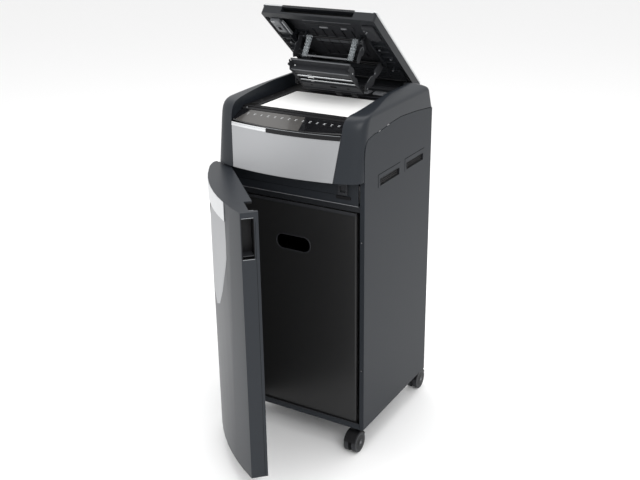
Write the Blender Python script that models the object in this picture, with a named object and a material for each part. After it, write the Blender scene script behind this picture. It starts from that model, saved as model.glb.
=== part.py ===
"""Free-standing automatic-feed paper shredder on casters, with its front door and its lid standing open.

Metres, +Z up, the front faces -Y and the floor is z = 0. Cabinet dimensions are measured from the middle of
the cabinet's footprint, and one empty then carries the whole object so that the box round it in this pose
is centred on the origin.
"""

import math

import bmesh
import bpy
from mathutils import Matrix, Vector

# ---------------------------------------------------------------- driving dimensions
PLACE = (0.0069, 0.1580, 0.0)  # carries the middle of the box round the object onto the origin
GAP = 0.0004  # clearance between touching pieces

CABINET_WIDTH = 0.480
CABINET_DEPTH = 0.445
SHEET = 0.002
HALF_W = CABINET_WIDTH / 2
HALF_D = CABINET_DEPTH / 2
UNDERSIDE = 0.082
FLANGE = 0.0145

RAIL_BOTTOM, RAIL_TOP = 0.791, 0.810
HEAD_BOTTOM = 0.883
ARM_TOP = 1.084
ARM_INNER = 0.194
DECK_TOP = 1.040
REAR_DECK_TOP = 1.018
FRONT_LEAN = 0.15  # how far the head's front leans back per unit of height
PANEL_TOP = 1.012

LID_HINGE = (0.205, 1.031)
LID_OPEN = math.radians(40.2)
LID_LENGTH = 0.400
LID_HALF_WIDTH = 0.1855
LID_REAR = 0.015  # rear edge behind the hinge, lid closed
LID_RISE = 0.052  # top face over the hinge, lid closed
LID_DEPTH = 0.030

ARM_PIVOT = (0.150, 0.026)  # distance from the lid's rear edge, depth under its top face
FRAME_PIVOT = (0.190, 0.134)
BAIL_PIVOT = (0.274, 0.024)
BAIL_END = (0.266, 0.084)

DOOR_AXIS = (-0.222, -0.2335)
DOOR_OPEN = math.radians(45.0)
DOOR_LENGTH = 0.447
DOOR_INNER = -0.010
DOOR_BOTTOM, DOOR_TOP = 0.071, 0.878
DOOR_BULGE, DOOR_MIDDLE, DOOR_FREE = 0.076, 0.215, 0.038
TRIM_LOW, TRIM_LEFT, TRIM_RIGHT = 0.823, 0.080, 0.350
INSET_LOW, INSET_DEEP, INSET_FLUSH = 0.496, 0.0555, 0.0775

SHAFT_Z = 0.906
SHAFT_FRONT_Y, SHAFT_REAR_Y = -0.040, -0.004
GEAR_MODULE = 0.0015
CUTTER_TEETH, WHEEL_TEETH, PINION_TEETH, PICK_TEETH = 24, 60, 12, 30
GEAR_X = -0.170

STEM_X, STEM_FRONT, STEM_REAR = 0.204, 0.186, 0.200
WHEEL_R, TRAIL = 0.0325, 0.028

# base colour, roughness, metallic
FINISHES = {
    "painted_steel": ((0.095, 0.099, 0.105), 0.42, 0.0),
    "slate_plastic": ((0.062, 0.067, 0.076), 0.45, 0.0),
    "black_plastic": ((0.012, 0.013, 0.015), 0.50, 0.0),
    "gloss_black": ((0.008, 0.008, 0.009), 0.12, 0.0),
    "silver_paint": ((0.62, 0.63, 0.64), 0.30, 0.4),
    "bright_silver": ((0.78, 0.79, 0.80), 0.22, 0.6),
    "grey_plastic": ((0.22, 0.22, 0.23), 0.40, 0.0),
    "bin_plastic": ((0.020, 0.020, 0.020), 0.55, 0.0),
    "clear_plastic": ((0.80, 0.84, 0.86), 0.08, 0.0),
    "chrome": ((0.80, 0.80, 0.80), 0.10, 1.0),
    "steel": ((0.48, 0.48, 0.47), 0.35, 1.0),
    "rubber": ((0.020, 0.020, 0.020), 0.80, 0.0),
    "paper": ((0.90, 0.90, 0.89), 0.85, 0.0),
    "circuit_green": ((0.02, 0.16, 0.06), 0.50, 0.0),
}


# ---------------------------------------------------------------- modelling helpers
def clear_scene():
    for obj in list(bpy.data.objects):
        bpy.data.objects.remove(obj, do_unlink=True)


def empty(name, location=(0, 0, 0), rotation=(0, 0, 0), parent=None):
    holder = bpy.data.objects.new(name, None)
    bpy.context.scene.collection.objects.link(holder)
    holder.location = location
    holder.rotation_euler = rotation
    holder.parent = parent
    return holder


def solid(name, vertices, faces):
    """A closed mesh object whose faces point outwards."""
    mesh = bpy.data.meshes.new(name)
    mesh.from_pydata([tuple(v) for v in vertices], [], faces)
    shape = bmesh.new()
    shape.from_mesh(mesh)
    bmesh.ops.recalc_face_normals(shape, faces=shape.faces)
    shape.to_mesh(mesh)
    shape.free()
    obj = bpy.data.objects.new(name, mesh)
    bpy.context.scene.collection.objects.link(obj)
    return obj


def along(axis, outline, level):
    """Points of a 2-D outline at one level of an axis. X takes (y, z), Y takes (x, z) and Z takes (x, y)."""
    if axis == "X":
        return [(level, a, b) for a, b in outline]
    if axis == "Y":
        return [(a, level, b) for a, b in outline]
    return [(a, b, level) for a, b in outline]


def prism(name, axis, outline, low, high):
    count = len(outline)
    sides = [(i, (i + 1) % count, count + (i + 1) % count, count + i) for i in range(count)]
    caps = [tuple(range(count)), tuple(range(2 * count - 1, count - 1, -1))]
    return solid(name, along(axis, outline, low) + along(axis, outline, high), sides + caps)


def block(name, low, high):
    return prism(name, "Z", [(low[0], low[1]), (high[0], low[1]), (high[0], high[1]), (low[0], high[1])],
                 low[2], high[2])


def ring_points(centre, radius, steps, start=0.0, sweep=math.tau):
    full = abs(sweep - math.tau) < 1e-9
    count = steps if full else steps + 1
    return [
        (centre[0] + radius * math.cos(start + sweep * i / steps),
         centre[1] + radius * math.sin(start + sweep * i / steps))
        for i in range(count)
    ]


def rod(name, axis, centre, radius, low, high, steps=16):
    return prism(name, axis, ring_points(centre, radius, steps), low, high)


def rounded(corners, steps=4):
    """An outline with arcs at its corners, each given as (a, b, radius)."""
    outline = []
    count = len(corners)
    for i, (a, b, radius) in enumerate(corners):
        here = Vector((a, b))
        if radius <= 0:
            outline.append((a, b))
            continue
        before = (Vector(corners[i - 1][:2]) - here).normalized()
        after = (Vector(corners[(i + 1) % count][:2]) - here).normalized()
        half = before.angle(after) / 2
        reach = radius / math.tan(half)
        centre = here + (before + after).normalized() * (radius / math.sin(half))
        first = here + before * reach - centre
        turn = first.angle_signed(here + after * reach - centre)
        for k in range(steps + 1):
            point = first.copy()
            point.rotate(Matrix.Rotation(-turn * k / steps, 2))
            outline.append(tuple(centre + point))
    return outline


def lathe(name, axis, profile, steps=14):
    """Turns (level, radius) points about an axis through the origin; the ends are flat discs."""
    vertices = []
    for level, radius in profile:
        vertices += along(axis, ring_points((0, 0), radius, steps), level)
    faces = [tuple(range(steps)), tuple(range(len(vertices) - steps, len(vertices)))]
    for k in range(len(profile) - 1):
        for i in range(steps):
            j = (i + 1) % steps
            faces.append((k * steps + i, k * steps + j, (k + 1) * steps + j, (k + 1) * steps + i))
    return solid(name, vertices, faces)


def shift(obj, offset):
    for vertex in obj.data.vertices:
        vertex.co += Vector(offset)
    return obj


def combine(obj, *tools, operation="DIFFERENCE"):
    """Applies a Boolean of each tool to the object and removes the tool."""
    for tool in tools:
        modifier = obj.modifiers.new("combine", "BOOLEAN")
        modifier.operation = operation
        modifier.solver = "EXACT"
        modifier.object = tool
        bpy.context.view_layer.update()
        evaluated = obj.evaluated_get(bpy.context.evaluated_depsgraph_get())
        mesh = bpy.data.meshes.new_from_object(evaluated)
        obj.modifiers.clear()
        obj.data = mesh
        bpy.data.objects.remove(tool, do_unlink=True)
    return obj


def cut(obj, *tools):
    return combine(obj, *tools)


def join(obj, *tools):
    return combine(obj, *tools, operation="UNION")


def keep(obj, tool):
    return combine(obj, tool, operation="INTERSECT")


def finish(obj, kind, parent, smooth=False):
    """Names the material, puts the origin in the piece's middle and hangs it on its parent."""
    colour, roughness, metallic = FINISHES[kind]
    paint = bpy.data.materials.new(obj.name + "_" + kind)
    paint.use_nodes = True
    shader = paint.node_tree.nodes["Principled BSDF"]
    shader.inputs["Base Color"].default_value = (*colour, 1.0)
    shader.inputs["Roughness"].default_value = roughness
    shader.inputs["Metallic"].default_value = metallic
    obj.data.materials.clear()
    obj.data.materials.append(paint)
    corners = [Vector(corner) for corner in obj.bound_box]
    middle = sum(corners, Vector()) / 8
    shift(obj, -middle)
    obj.location = middle
    obj.parent = parent
    if smooth:
        obj.data.shade_smooth()
        obj.data.set_sharp_from_angle(angle=math.radians(35))
    return obj


# ---------------------------------------------------------------- cabinet
def side_profile():
    """The arched outline of a side panel in (y, z), from its front foot round to its rear foot."""
    foot = UNDERSIDE + 0.0030
    return [
        (-HALF_D, foot), (HALF_D - SHEET - GAP, foot), (HALF_D - SHEET - GAP, 0.996), (0.150, 1.005),
        (0.095, 1.011),
        (0.000, 1.0175), (-0.060, 1.0145), (-0.120, 1.0075), (-0.167, 1.006), (-0.200, 1.000),
        (-0.2115, 0.992), (-0.2185, 0.975), (-HALF_D, 0.950),
    ]


def vent_slot(front, rear):
    """A narrow opening under the carry line; its front end is upright and its top runs level."""
    return [(front, 0.846), (rear, 0.846), (rear, 0.866), (front, 0.866)]


VENTS = ((-0.127, -0.006), (0.045, 0.160))


def cabinet(root):
    pan = block("base_plate", (-HALF_W + SHEET + GAP, -HALF_D, UNDERSIDE),
        (HALF_W - SHEET - GAP, HALF_D, UNDERSIDE + 0.003))
    sill = block("sill", (-HALF_W + FLANGE + 0.001, -HALF_D, UNDERSIDE + 0.001),
        (HALF_W - FLANGE - 0.001, -HALF_D + SHEET, UNDERSIDE + 0.020))
    base = join(pan, sill)
    finish(base, "painted_steel", root)

    for side, name in ((-1, "left"), (1, "right")):
        inner, outer = side * (HALF_W - SHEET), side * HALF_W
        panel = prism(name + "_side_panel", "X", side_profile(), min(inner, outer), max(inner, outer))
        flange = block("flange", (min(side * (HALF_W - FLANGE), outer), -HALF_D, UNDERSIDE + 0.003),
                       (max(side * (HALF_W - FLANGE), outer), -HALF_D + SHEET, HEAD_BOTTOM - 0.0045))
        join(panel, flange)
        for front, rear in VENTS:
            cut(panel, prism("slot", "X", vent_slot(front, rear), side * 0.236 - 0.006,
                side * 0.236 + 0.006))
        finish(panel, "painted_steel", root)
        grille = block(name + "_vent_grille", (min(side * 0.2335, side * 0.2375), VENTS[0][0] - 0.008,
            0.838),
                       (max(side * 0.2335, side * 0.2375), VENTS[1][1] + 0.008, 0.874))
        shift(grille, (-side * GAP, 0, 0))
        for front, rear in VENTS:
            for level in (0.849, 0.8545, 0.860):
                low, high = sorted((side * 0.230, side * 0.240))
                cut(grille, block("louvre", (low, front + 0.004, level),
                    (high, rear - 0.004, level + 0.003)))
        finish(grille, "black_plastic", root)

    rear = block("rear_panel", (-HALF_W + SHEET + GAP, HALF_D - SHEET, UNDERSIDE + 0.003 + GAP),
                 (HALF_W - SHEET - GAP, HALF_D, 0.9970))
    for column in range(-3, 4):
        x = column * 0.030
        cut(rear, block("slot", (x - 0.004, HALF_D - 0.01, 0.86), (x + 0.004, HALF_D + 0.01, 0.94)))
    finish(rear, "painted_steel", root)

    rail = block("front_rail", (-HALF_W + FLANGE + GAP, -HALF_D, RAIL_BOTTOM),
        (HALF_W - FLANGE - GAP, -HALF_D + 0.018, RAIL_TOP))
    cut(rail, block("hollow", (-0.218, -HALF_D + 0.002, RAIL_BOTTOM + 0.002),
        (0.218, -HALF_D + 0.03, RAIL_TOP - 0.002)))
    finish(rail, "painted_steel", root)

    shelf = block("head_shelf", (-HALF_W + SHEET + GAP, -0.203, RAIL_TOP + GAP),
        (HALF_W - SHEET - GAP, HALF_D - SHEET - GAP, RAIL_TOP + 0.002))
    cut(shelf, block("chute", (-0.146, -0.070, 0.80), (0.146, 0.026, 0.83)))
    finish(shelf, "steel", root)


def waste_bin(root):
    """Pull-out bin: an open box whose front carries a hand slot."""
    low, high, wall = (-0.2125, -0.2175, 0.0905), (0.2125, 0.190, 0.786), 0.003
    body = prism("waste_bin", "Z", rounded([(low[0], low[1], 0.006), (high[0], low[1], 0.006),
        (high[0], high[1], 0.012), (low[0], high[1], 0.012)]), low[2], high[2])
    cut(body, block("inside", (low[0] + wall, low[1] + wall, low[2] + wall),
        (high[0] - wall, high[1] - wall, high[2] + 0.05)))
    slot = rounded([(-0.058, 0.633, 0.022), (0.058, 0.633, 0.022), (0.058, 0.680, 0.022),
        (-0.058, 0.680, 0.022)], 6)
    cut(body, prism("slot", "Y", slot, low[1] - 0.01, low[1] + 0.01))
    finish(body, "bin_plastic", root)


# ---------------------------------------------------------------- head
def front_curve(x):
    """Plan of the head's front at its lower edge."""
    return -0.289 + 0.62 * x * x


# plan of the corner at the lower edge, then the level, front inset, side inset and rear end of each contour
COVER_CORNER = (
    (0.1600, -0.2731), (0.1800, -0.2689), (0.1950, -0.2645), (0.2100, -0.2590), (0.2220, -0.2525),
    (0.2300, -0.2465), (0.2355, -0.2395), (0.2385, -0.2310), (0.2393, -0.2200),
)
COVER_SIDE = 0.2393
COVER_CONTOURS = (
    (HEAD_BOTTOM, 0.0, 0.0, 0.2245), (0.996, 0.0, 0.0, 0.2245), (PANEL_TOP, 0.0, 0.0, 0.2180),
    (1.030, 0.0005, 0.0, 0.2110), (1.044, 0.0035, 0.0, 0.2060), (1.054, 0.0100, 0.0, 0.2020),
    (1.060, 0.0180, 0.0015, 0.1995), (1.064, 0.0280, 0.0040, 0.1965), (1.067, 0.0540, 0.0080, 0.1925),
    (1.071, 0.0910, 0.0150, 0.1850), (1.076, 0.1410, 0.0250, 0.1740), (1.080, 0.1920, 0.0340, 0.1600),
    (1.082, 0.2280, 0.0400, 0.1480),
)
ACROSS = (0.0, 0.20, 0.40, 0.57, 0.71, 0.82, 0.90, 0.955, 0.985, 1.0)


def corner_front(x):
    """Front of the head's corner at its lower edge, read from the corner's plan."""
    for (low, front), (high, behind) in zip(COVER_CORNER, COVER_CORNER[1:]):
        if x <= high:
            return front + (behind - front) * (x - low) / (high - low)
    return COVER_CORNER[-1][1]


def cover_contour(level, front_inset, side_inset, rear, wall):
    """Plan of a right-hand cover at one level; wall moves the whole outline inwards for the hollow."""
    lean = FRONT_LEAN * (level - HEAD_BOTTOM)
    inner = 0.1668 + 0.0147 * min(1.0, (level - HEAD_BOTTOM) / (PANEL_TOP - HEAD_BOTTOM))
    if level > PANEL_TOP:
        front = corner_front(inner + side_inset) + lean + front_inset
        inner = min(ARM_INNER, 0.1815 + 0.0125 * (front + 0.2496) / 0.0796)
    outer = COVER_SIDE - side_inset
    points = []
    for share in ACROSS:
        x = inner + wall + share * (outer - inner - 2 * wall)
        y = corner_front(min(COVER_SIDE, x + side_inset)) + lean + front_inset + wall
        points.append((x, y))
    rear_x, rear_y = outer - wall, rear - wall
    points += [(rear_x, rear_y - 0.012), (rear_x - 0.0015, rear_y - 0.005), (rear_x - 0.0060, rear_y)]
    inside = ARM_INNER + wall if level > PANEL_TOP else max(ARM_INNER, inner) + wall
    first_y = points[0][1]
    points += [(min(inside, rear_x - 0.0065), rear_y),
        (min(inside, rear_x - 0.0065), max(-0.1700, first_y + 0.002))]
    return points


def contour_loft(name, contours):
    """A closed solid through outlines of the same length, each given as (level, points)."""
    count = len(contours[0][1])
    vertices = []
    for level, outline in contours:
        vertices += along("Z", outline, level)
    last = len(vertices) - count
    faces = [tuple(range(count)), tuple(range(len(vertices) - 1, last - 1, -1))]
    for k in range(len(contours) - 1):
        for i in range(count):
            j = (i + 1) % count
            faces.append((k * count + i, k * count + j, (k + 1) * count + j, (k + 1) * count + i))
    return solid(name, vertices, faces)


def mirrored(outline, side):
    return [(side * x, y) for x, y in outline]


def arch_region():
    """What lies under and behind the arched joint between a cover and its side panel, in (y, z)."""
    return [
        (-HALF_D - 0.0008, 0.80), (-HALF_D - 0.0008, 0.951), (-0.2195, 0.9765), (-0.2120, 0.9935),
        (-0.200, 1.0015),
        (-0.167, 1.0075), (-0.120, 1.0090), (-0.060, 1.0160), (0.000, 1.0190), (0.095, 1.0125),
        (0.150, 1.0065),
        (HALF_D + 0.002, 0.9975), (0.300, 0.9975), (0.300, 0.80),
    ]


def head_cover(side, name, root):
    """A ribbon that rises up the head's corner and turns onto the arm beside the lid."""
    outside = [(row[0], mirrored(cover_contour(*row, 0.0), side)) for row in COVER_CONTOURS]
    inside = []
    for level, front_inset, side_inset, rear in COVER_CONTOURS[:8]:
        lowered = level - 0.004 if level > PANEL_TOP else level - 0.030 * (level == HEAD_BOTTOM)
        inside.append((lowered, mirrored(cover_contour(level, front_inset, side_inset, rear, 0.0030),
            side)))
    cover = contour_loft(name + "_head_cover", outside)
    cut(cover, prism("arch", "X", arch_region(), -0.30, 0.30))
    cut(cover, contour_loft("hollow", inside))
    finish(cover, "slate_plastic", root, True)


def curved_strip(name, low_half, high_half, low, high, thickness, stand_off=0.0):
    """A band that follows the head's front curve and its lean."""
    steps = 12
    vertices = []
    for level, half in ((low, low_half), (high, high_half)):
        for depth in (0.0, thickness):
            for i in range(steps + 1):
                x = half * (2 * i / steps - 1)
                y = front_curve(x) + FRONT_LEAN * (level - HEAD_BOTTOM) + depth - stand_off
                vertices.append((x, y, level))
    row = steps + 1
    faces = []
    for i in range(steps):
        faces.append((i, i + 1, 2 * row + i + 1, 2 * row + i))
        faces.append((row + i, 3 * row + i, 3 * row + i + 1, row + i + 1))
        faces.append((i, row + i, row + i + 1, i + 1))
        faces.append((2 * row + i, 2 * row + i + 1, 3 * row + i + 1, 3 * row + i))
    faces.append((0, 2 * row, 3 * row, row))
    faces.append((steps, row + steps, 3 * row + steps, 2 * row + steps))
    return solid(name, vertices, faces)


def head(root):
    fascia = block("fascia", (-HALF_W + FLANGE + 0.003, -HALF_D + 0.001, RAIL_TOP + GAP),
        (HALF_W - FLANGE - 0.006, -HALF_D + 0.004, HEAD_BOTTOM - 0.001))
    lip = block("lip", (-0.2215, -HALF_D + 0.0012, HEAD_BOTTOM - 0.0038),
        (0.2190, -0.170, HEAD_BOTTOM - 0.001))
    join(fascia, lip)
    finish(fascia, "black_plastic", root)
    striker = block("door_striker", (0.160, -HALF_D - 0.0085, 0.838), (0.188, -HALF_D + 0.001 - GAP, 0.872))
    cut(striker, block("mouth", (0.165, -HALF_D - 0.02, 0.846), (0.183, -HALF_D - 0.002, 0.864)))
    finish(striker, "grey_plastic", root)

    finish(curved_strip("front_panel", 0.1655, 0.1795, HEAD_BOTTOM, PANEL_TOP - 0.0080, 0.003),
        "silver_paint", root, True)
    finish(curved_strip("front_trim", 0.1798, 0.1806, PANEL_TOP - 0.0076, PANEL_TOP, 0.004), "gloss_black",
        root, True)
    head_cover(-1, "left", root)
    head_cover(1, "right", root)

    strip = prism("control_panel", "X", [(-0.2720, 1.0122), (-0.1705, 1.0365), (-0.1705, 1.0330),
        (-0.2720, 1.0088)],
                  -0.1950, 0.1950)
    edge = [(x, front_curve(x) + FRONT_LEAN * (PANEL_TOP - HEAD_BOTTOM) + 0.0046)
            for x in (-0.1808, -0.12, -0.06, 0, 0.06, 0.12, 0.1808)]
    keep(strip, prism("plan", "Z", edge + [(0.1925, -0.1600), (-0.1925, -0.1600)], 0.99, 1.05))
    finish(strip, "gloss_black", root)

    tray()
    finish(bpy.data.objects["paper_tray"], "black_plastic", root)
    deck = prism("tray_bezel", "Z", rounded([(-ARM_INNER + 0.001, -0.1698, 0),
        (ARM_INNER - 0.001, -0.1698, 0), (ARM_INNER - 0.001, 0.1900, 0), (-ARM_INNER + 0.001, 0.1900, 0)]),
        DECK_TOP - 0.004, DECK_TOP)
    cut(deck, block("mouth", (-0.1510, -0.1530, 1.0), (0.1510, 0.0640, 1.1)))
    for side in (-1, 1):
        cut(deck, block("notch", (side * 0.165 - 0.020, 0.160, 1.0), (side * 0.165 + 0.020, 0.20, 1.1)))
    finish(deck, "black_plastic", root)
    finish(block("paper_stack", (-0.1485, -0.1500, 0.9612), (0.1485, 0.0600, 1.0385)), "paper", root)

    rear_cover = block("rear_head_cover", (-ARM_INNER + 0.001, 0.1930, REAR_DECK_TOP - 0.003),
        (ARM_INNER - 0.001, HALF_D + 0.0020, REAR_DECK_TOP))
    join(rear_cover, block("skirt", (-ARM_INNER + 0.001, HALF_D + GAP, 0.9980),
        (ARM_INNER - 0.001, HALF_D + 0.0020, REAR_DECK_TOP - 0.001)))
    join(rear_cover, block("front_wall", (-ARM_INNER + 0.001, 0.1905, REAR_DECK_TOP - 0.003),
        (ARM_INNER - 0.001, 0.1935, DECK_TOP)))
    for side in (-1, 1):
        cut(rear_cover, block("lug_room", (side * 0.165 - 0.018, 0.185, REAR_DECK_TOP + 0.0004),
            (side * 0.165 + 0.018, 0.194, 1.2)))
    finish(rear_cover, "slate_plastic", root)

    for side, name in ((-1, "left"), (1, "right")):
        y, z = LID_HINGE
        low, high = sorted((side * 0.1675, side * 0.1785))
        outline = [(y - 0.010, REAR_DECK_TOP + GAP), (y + 0.010, REAR_DECK_TOP + GAP)] + ring_points((y, z),
            0.010, 8, 0.0, math.pi)
        bracket = prism("lid_hinge_bracket_" + name, "X", outline, low, high)
        pin = rod("pin", "X", (y, z), 0.0040, min(side * 0.1485, side * 0.178),
            max(side * 0.1485, side * 0.178), 24)
        join(bracket, pin)
        finish(bracket, "steel", root)


def tray():
    """Open well that holds the stack, with a slot for the pick roller in its floor."""
    body = block("paper_tray", (-0.1545, -0.1545, 0.9560), (0.1545, 0.0675, DECK_TOP - 0.0045))
    cut(body, block("inside", (-0.1510, -0.1530, 0.9590), (0.1510, 0.0640, 1.2)))
    cut(body, block("slot", (-0.1460, SHAFT_FRONT_Y - 0.018, 0.94), (0.1460, SHAFT_FRONT_Y + 0.018, 0.97)))
    return body


# ---------------------------------------------------------------- cutting unit
def gear_outline(teeth, phase=0.0):
    """Trapezoid teeth on a pitch circle, narrow enough to leave backlash."""
    pitch = GEAR_MODULE * teeth / 2
    step = math.tau / teeth
    outline = []
    for k in range(teeth):
        middle = phase + k * step
        for angle, radius in ((-0.34, pitch - 1.25 * GEAR_MODULE), (-0.115, pitch + 0.85 * GEAR_MODULE),
                              (0.115, pitch + 0.85 * GEAR_MODULE), (0.34, pitch - 1.25 * GEAR_MODULE)):
            outline.append((radius * math.cos(middle + angle * step),
                radius * math.sin(middle + angle * step)))
    return outline


def cutter_profile(first, discs, pitch, disc_width, radius, hub):
    """Levels and radii of a shaft whose discs repeat along it, with a bearing journal at each end."""
    profile = [(-0.1620, 0.0060), (-0.1470, 0.0060), (-0.1470, hub)]
    for k in range(discs):
        start = first + k * pitch
        profile += [(start, hub), (start, radius), (start + disc_width, radius), (start + disc_width, hub)]
    return profile + [(0.1470, hub), (0.1470, 0.0060), (0.1620, 0.0060)]


def cutting_unit(root, front_axis, rear_axis, wheel_axis, pinion_axis, pick_axis):
    for side, name in ((-1, "left"), (1, "right")):
        low, high = sorted((side * 0.1500, side * 0.1560))
        plate = prism("cutter_frame_" + name, "X",
            [(-0.076, RAIL_TOP + 0.0024), (0.044, RAIL_TOP + 0.0024), (0.044, 0.930), (0.020, 0.9540),
            (-0.076, 0.9540)], low, high)
        for centre in ((SHAFT_FRONT_Y, SHAFT_Z), (SHAFT_REAR_Y, SHAFT_Z)):
            cut(plate, rod("bore", "X", centre, 0.00625, low - 0.01, high + 0.01, 20))
        cut(plate, rod("bore", "X", (SHAFT_FRONT_Y, SHAFT_Z + 0.0405), 0.0037, low - 0.01, high + 0.01, 20))
        if side < 0:
            join(plate, rod("tie_rod", "X", (0.034, 0.832), 0.006, -0.1510, 0.1495, 12))
        finish(plate, "steel", root)

    phase = math.pi / CUTTER_TEETH
    for name, axis, first, turn in (("cutter_shaft_front", front_axis, -0.1400, 0.0),
            ("cutter_shaft_rear", rear_axis, -0.1290, phase)):
        shaft = lathe(name, "X", cutter_profile(first, 12, 0.0220, 0.0098, 0.0200, 0.0140), 14)
        gear = prism("gear", "X", gear_outline(CUTTER_TEETH, turn), GEAR_X - 0.0050, GEAR_X + 0.0085)
        join(shaft, gear)
        finish(shaft, "steel", axis)

    # the reduction wheel sits behind the rear cutter gear on the same level
    wheel = prism("reduction_gear", "X", gear_outline(WHEEL_TEETH, math.pi), GEAR_X - 0.0050,
        GEAR_X + 0.0045)
    rotate_mesh(wheel, phase_of_wheel())
    finish(wheel, "grey_plastic", wheel_axis)
    pinion = prism("motor_pinion", "X", gear_outline(PINION_TEETH,
        math.pi + math.pi / PINION_TEETH + pinion_phase()), GEAR_X - 0.0050, GEAR_X + 0.0045)
    join(pinion, rod("spindle", "X", (0, 0), 0.0040, GEAR_X + 0.0040, -0.1505, 16))
    finish(pinion, "steel", pinion_axis)

    pick = lathe("pick_roller", "X", [(-0.1620, 0.0035), (-0.1300, 0.0035), (-0.1300, 0.0140),
        (-0.0900, 0.0140), (-0.0900, 0.0060), (-0.0450, 0.0060),
                                      (-0.0450, 0.0140), (-0.0050, 0.0140), (-0.0050, 0.0060),
                                      (0.0450, 0.0060), (0.0450, 0.0140), (0.0850, 0.0140),
                                      (0.0850, 0.0060), (0.0950, 0.0060), (0.0950, 0.0140),
                                      (0.1300, 0.0140), (0.1300, 0.0035), (0.1620, 0.0035)], 16)
    join(pick, prism("gear", "X", gear_outline(PICK_TEETH, -math.pi / 2 + math.pi / PICK_TEETH),
        GEAR_X - 0.0050, GEAR_X + 0.0085))
    finish(pick, "rubber", pick_axis, True)

    motor = rod("motor", "X", (0.113, SHAFT_Z), 0.040, -0.150, -0.020, 20)
    cut(motor, rod("spindle_room", "X", (0.113, SHAFT_Z), 0.0046, -0.160, -0.1498, 16))
    finish(motor, "steel", root, True)
    finish(block("control_board", (0.060, 0.090, RAIL_TOP + 0.010), (0.215, 0.195, RAIL_TOP + 0.0116)),
        "circuit_green", root)


def rotate_mesh(obj, angle):
    c, s = math.cos(angle), math.sin(angle)
    for vertex in obj.data.vertices:
        y, z = vertex.co.y, vertex.co.z
        vertex.co.y, vertex.co.z = c * y - s * z, s * y + c * z


def phase_of_wheel():
    """Turns the wheel so that a gap faces the rear cutter gear's tooth, or a tooth its gap."""
    tooth_faces_wheel = abs((math.pi / CUTTER_TEETH) % (math.tau / CUTTER_TEETH)) < 1e-9
    return math.pi / WHEEL_TEETH if tooth_faces_wheel else 0.0


def pinion_phase():
    """The wheel has an even number of teeth, so what faces the pinion is what faces the cutter gear."""
    return 0.0 if phase_of_wheel() == 0.0 else math.pi / PINION_TEETH


# ---------------------------------------------------------------- rear fittings
def rear_fittings(root, rocker_axis):
    inlet = block("power_inlet", (0.1030, HALF_D + GAP, 0.1170), (0.1850, HALF_D + 0.0060, 0.1490))
    cut(inlet, block("socket", (0.1550, HALF_D + 0.0015, 0.1250), (0.1770, HALF_D + 0.02, 0.1410)))
    cut(inlet, block("mouth", (0.1080, HALF_D + 0.0012, 0.1210), (0.1300, HALF_D + 0.02, 0.1450)))
    finish(inlet, "black_plastic", root)
    rocker = prism("mains_rocker", "X", [(-0.0010, -0.0105), (0.0042, -0.0108), (0.0025, 0.0),
        (0.0042, 0.0108), (-0.0010, 0.0105)], -0.0105, 0.0105)
    finish(rocker, "gloss_black", rocker_axis)


# ---------------------------------------------------------------- door
def door_outer(along_door):
    bend = (DOOR_BULGE - DOOR_FREE) / (DOOR_LENGTH - DOOR_MIDDLE) ** 2
    return DOOR_BULGE - bend * (along_door - DOOR_MIDDLE) ** 2


def door_outline(thin=0.0, start=None):
    """Plan of the door: x along it from its hinge axis, y towards the cabinet. thin moves the outer side in."""
    outer = [(x, -(door_outer(x) - thin)) for x in (0.430, 0.390, 0.345, 0.300, 0.258, 0.215, 0.172, 0.130,
        0.085, 0.050, 0.022)]
    if start is not None:
        inside = [p for p in outer if p[0] > start + 0.005]
        return [(DOOR_LENGTH - 0.004, 0.02), (DOOR_LENGTH - 0.004,
            -(door_outer(DOOR_LENGTH - 0.004) - thin))] + inside + [
            (start, -(door_outer(start) - thin)), (start, 0.02)]
    nose = ring_points((0, 0), 0.0100, 6, math.radians(228), math.radians(90 - 228))
    return (
        [(DOOR_LENGTH, -DOOR_INNER), (DOOR_LENGTH, -DOOR_FREE)] + outer
        + [(0.002, -0.0410), (-0.011, -0.0340), (-0.018, -0.0250), (-0.0168, -0.0203)]
        # a notch here clears the side panel's corner when the door is fully open
        + [(-0.0130, -0.0199), (-0.0088, -0.0193), (-0.0088, -0.0115)] + nose
    )


def inset_wedge(depth, push):
    """Profile in (y, z) of the sloping recess: deepest under the trim band, flush at its foot."""
    deep, flush = -(INSET_DEEP - depth), -(INSET_FLUSH - depth)
    return [(-0.12, TRIM_LOW + push), (deep, TRIM_LOW + push), (flush, INSET_LOW - push),
        (-0.12, INSET_LOW - push)]


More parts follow.
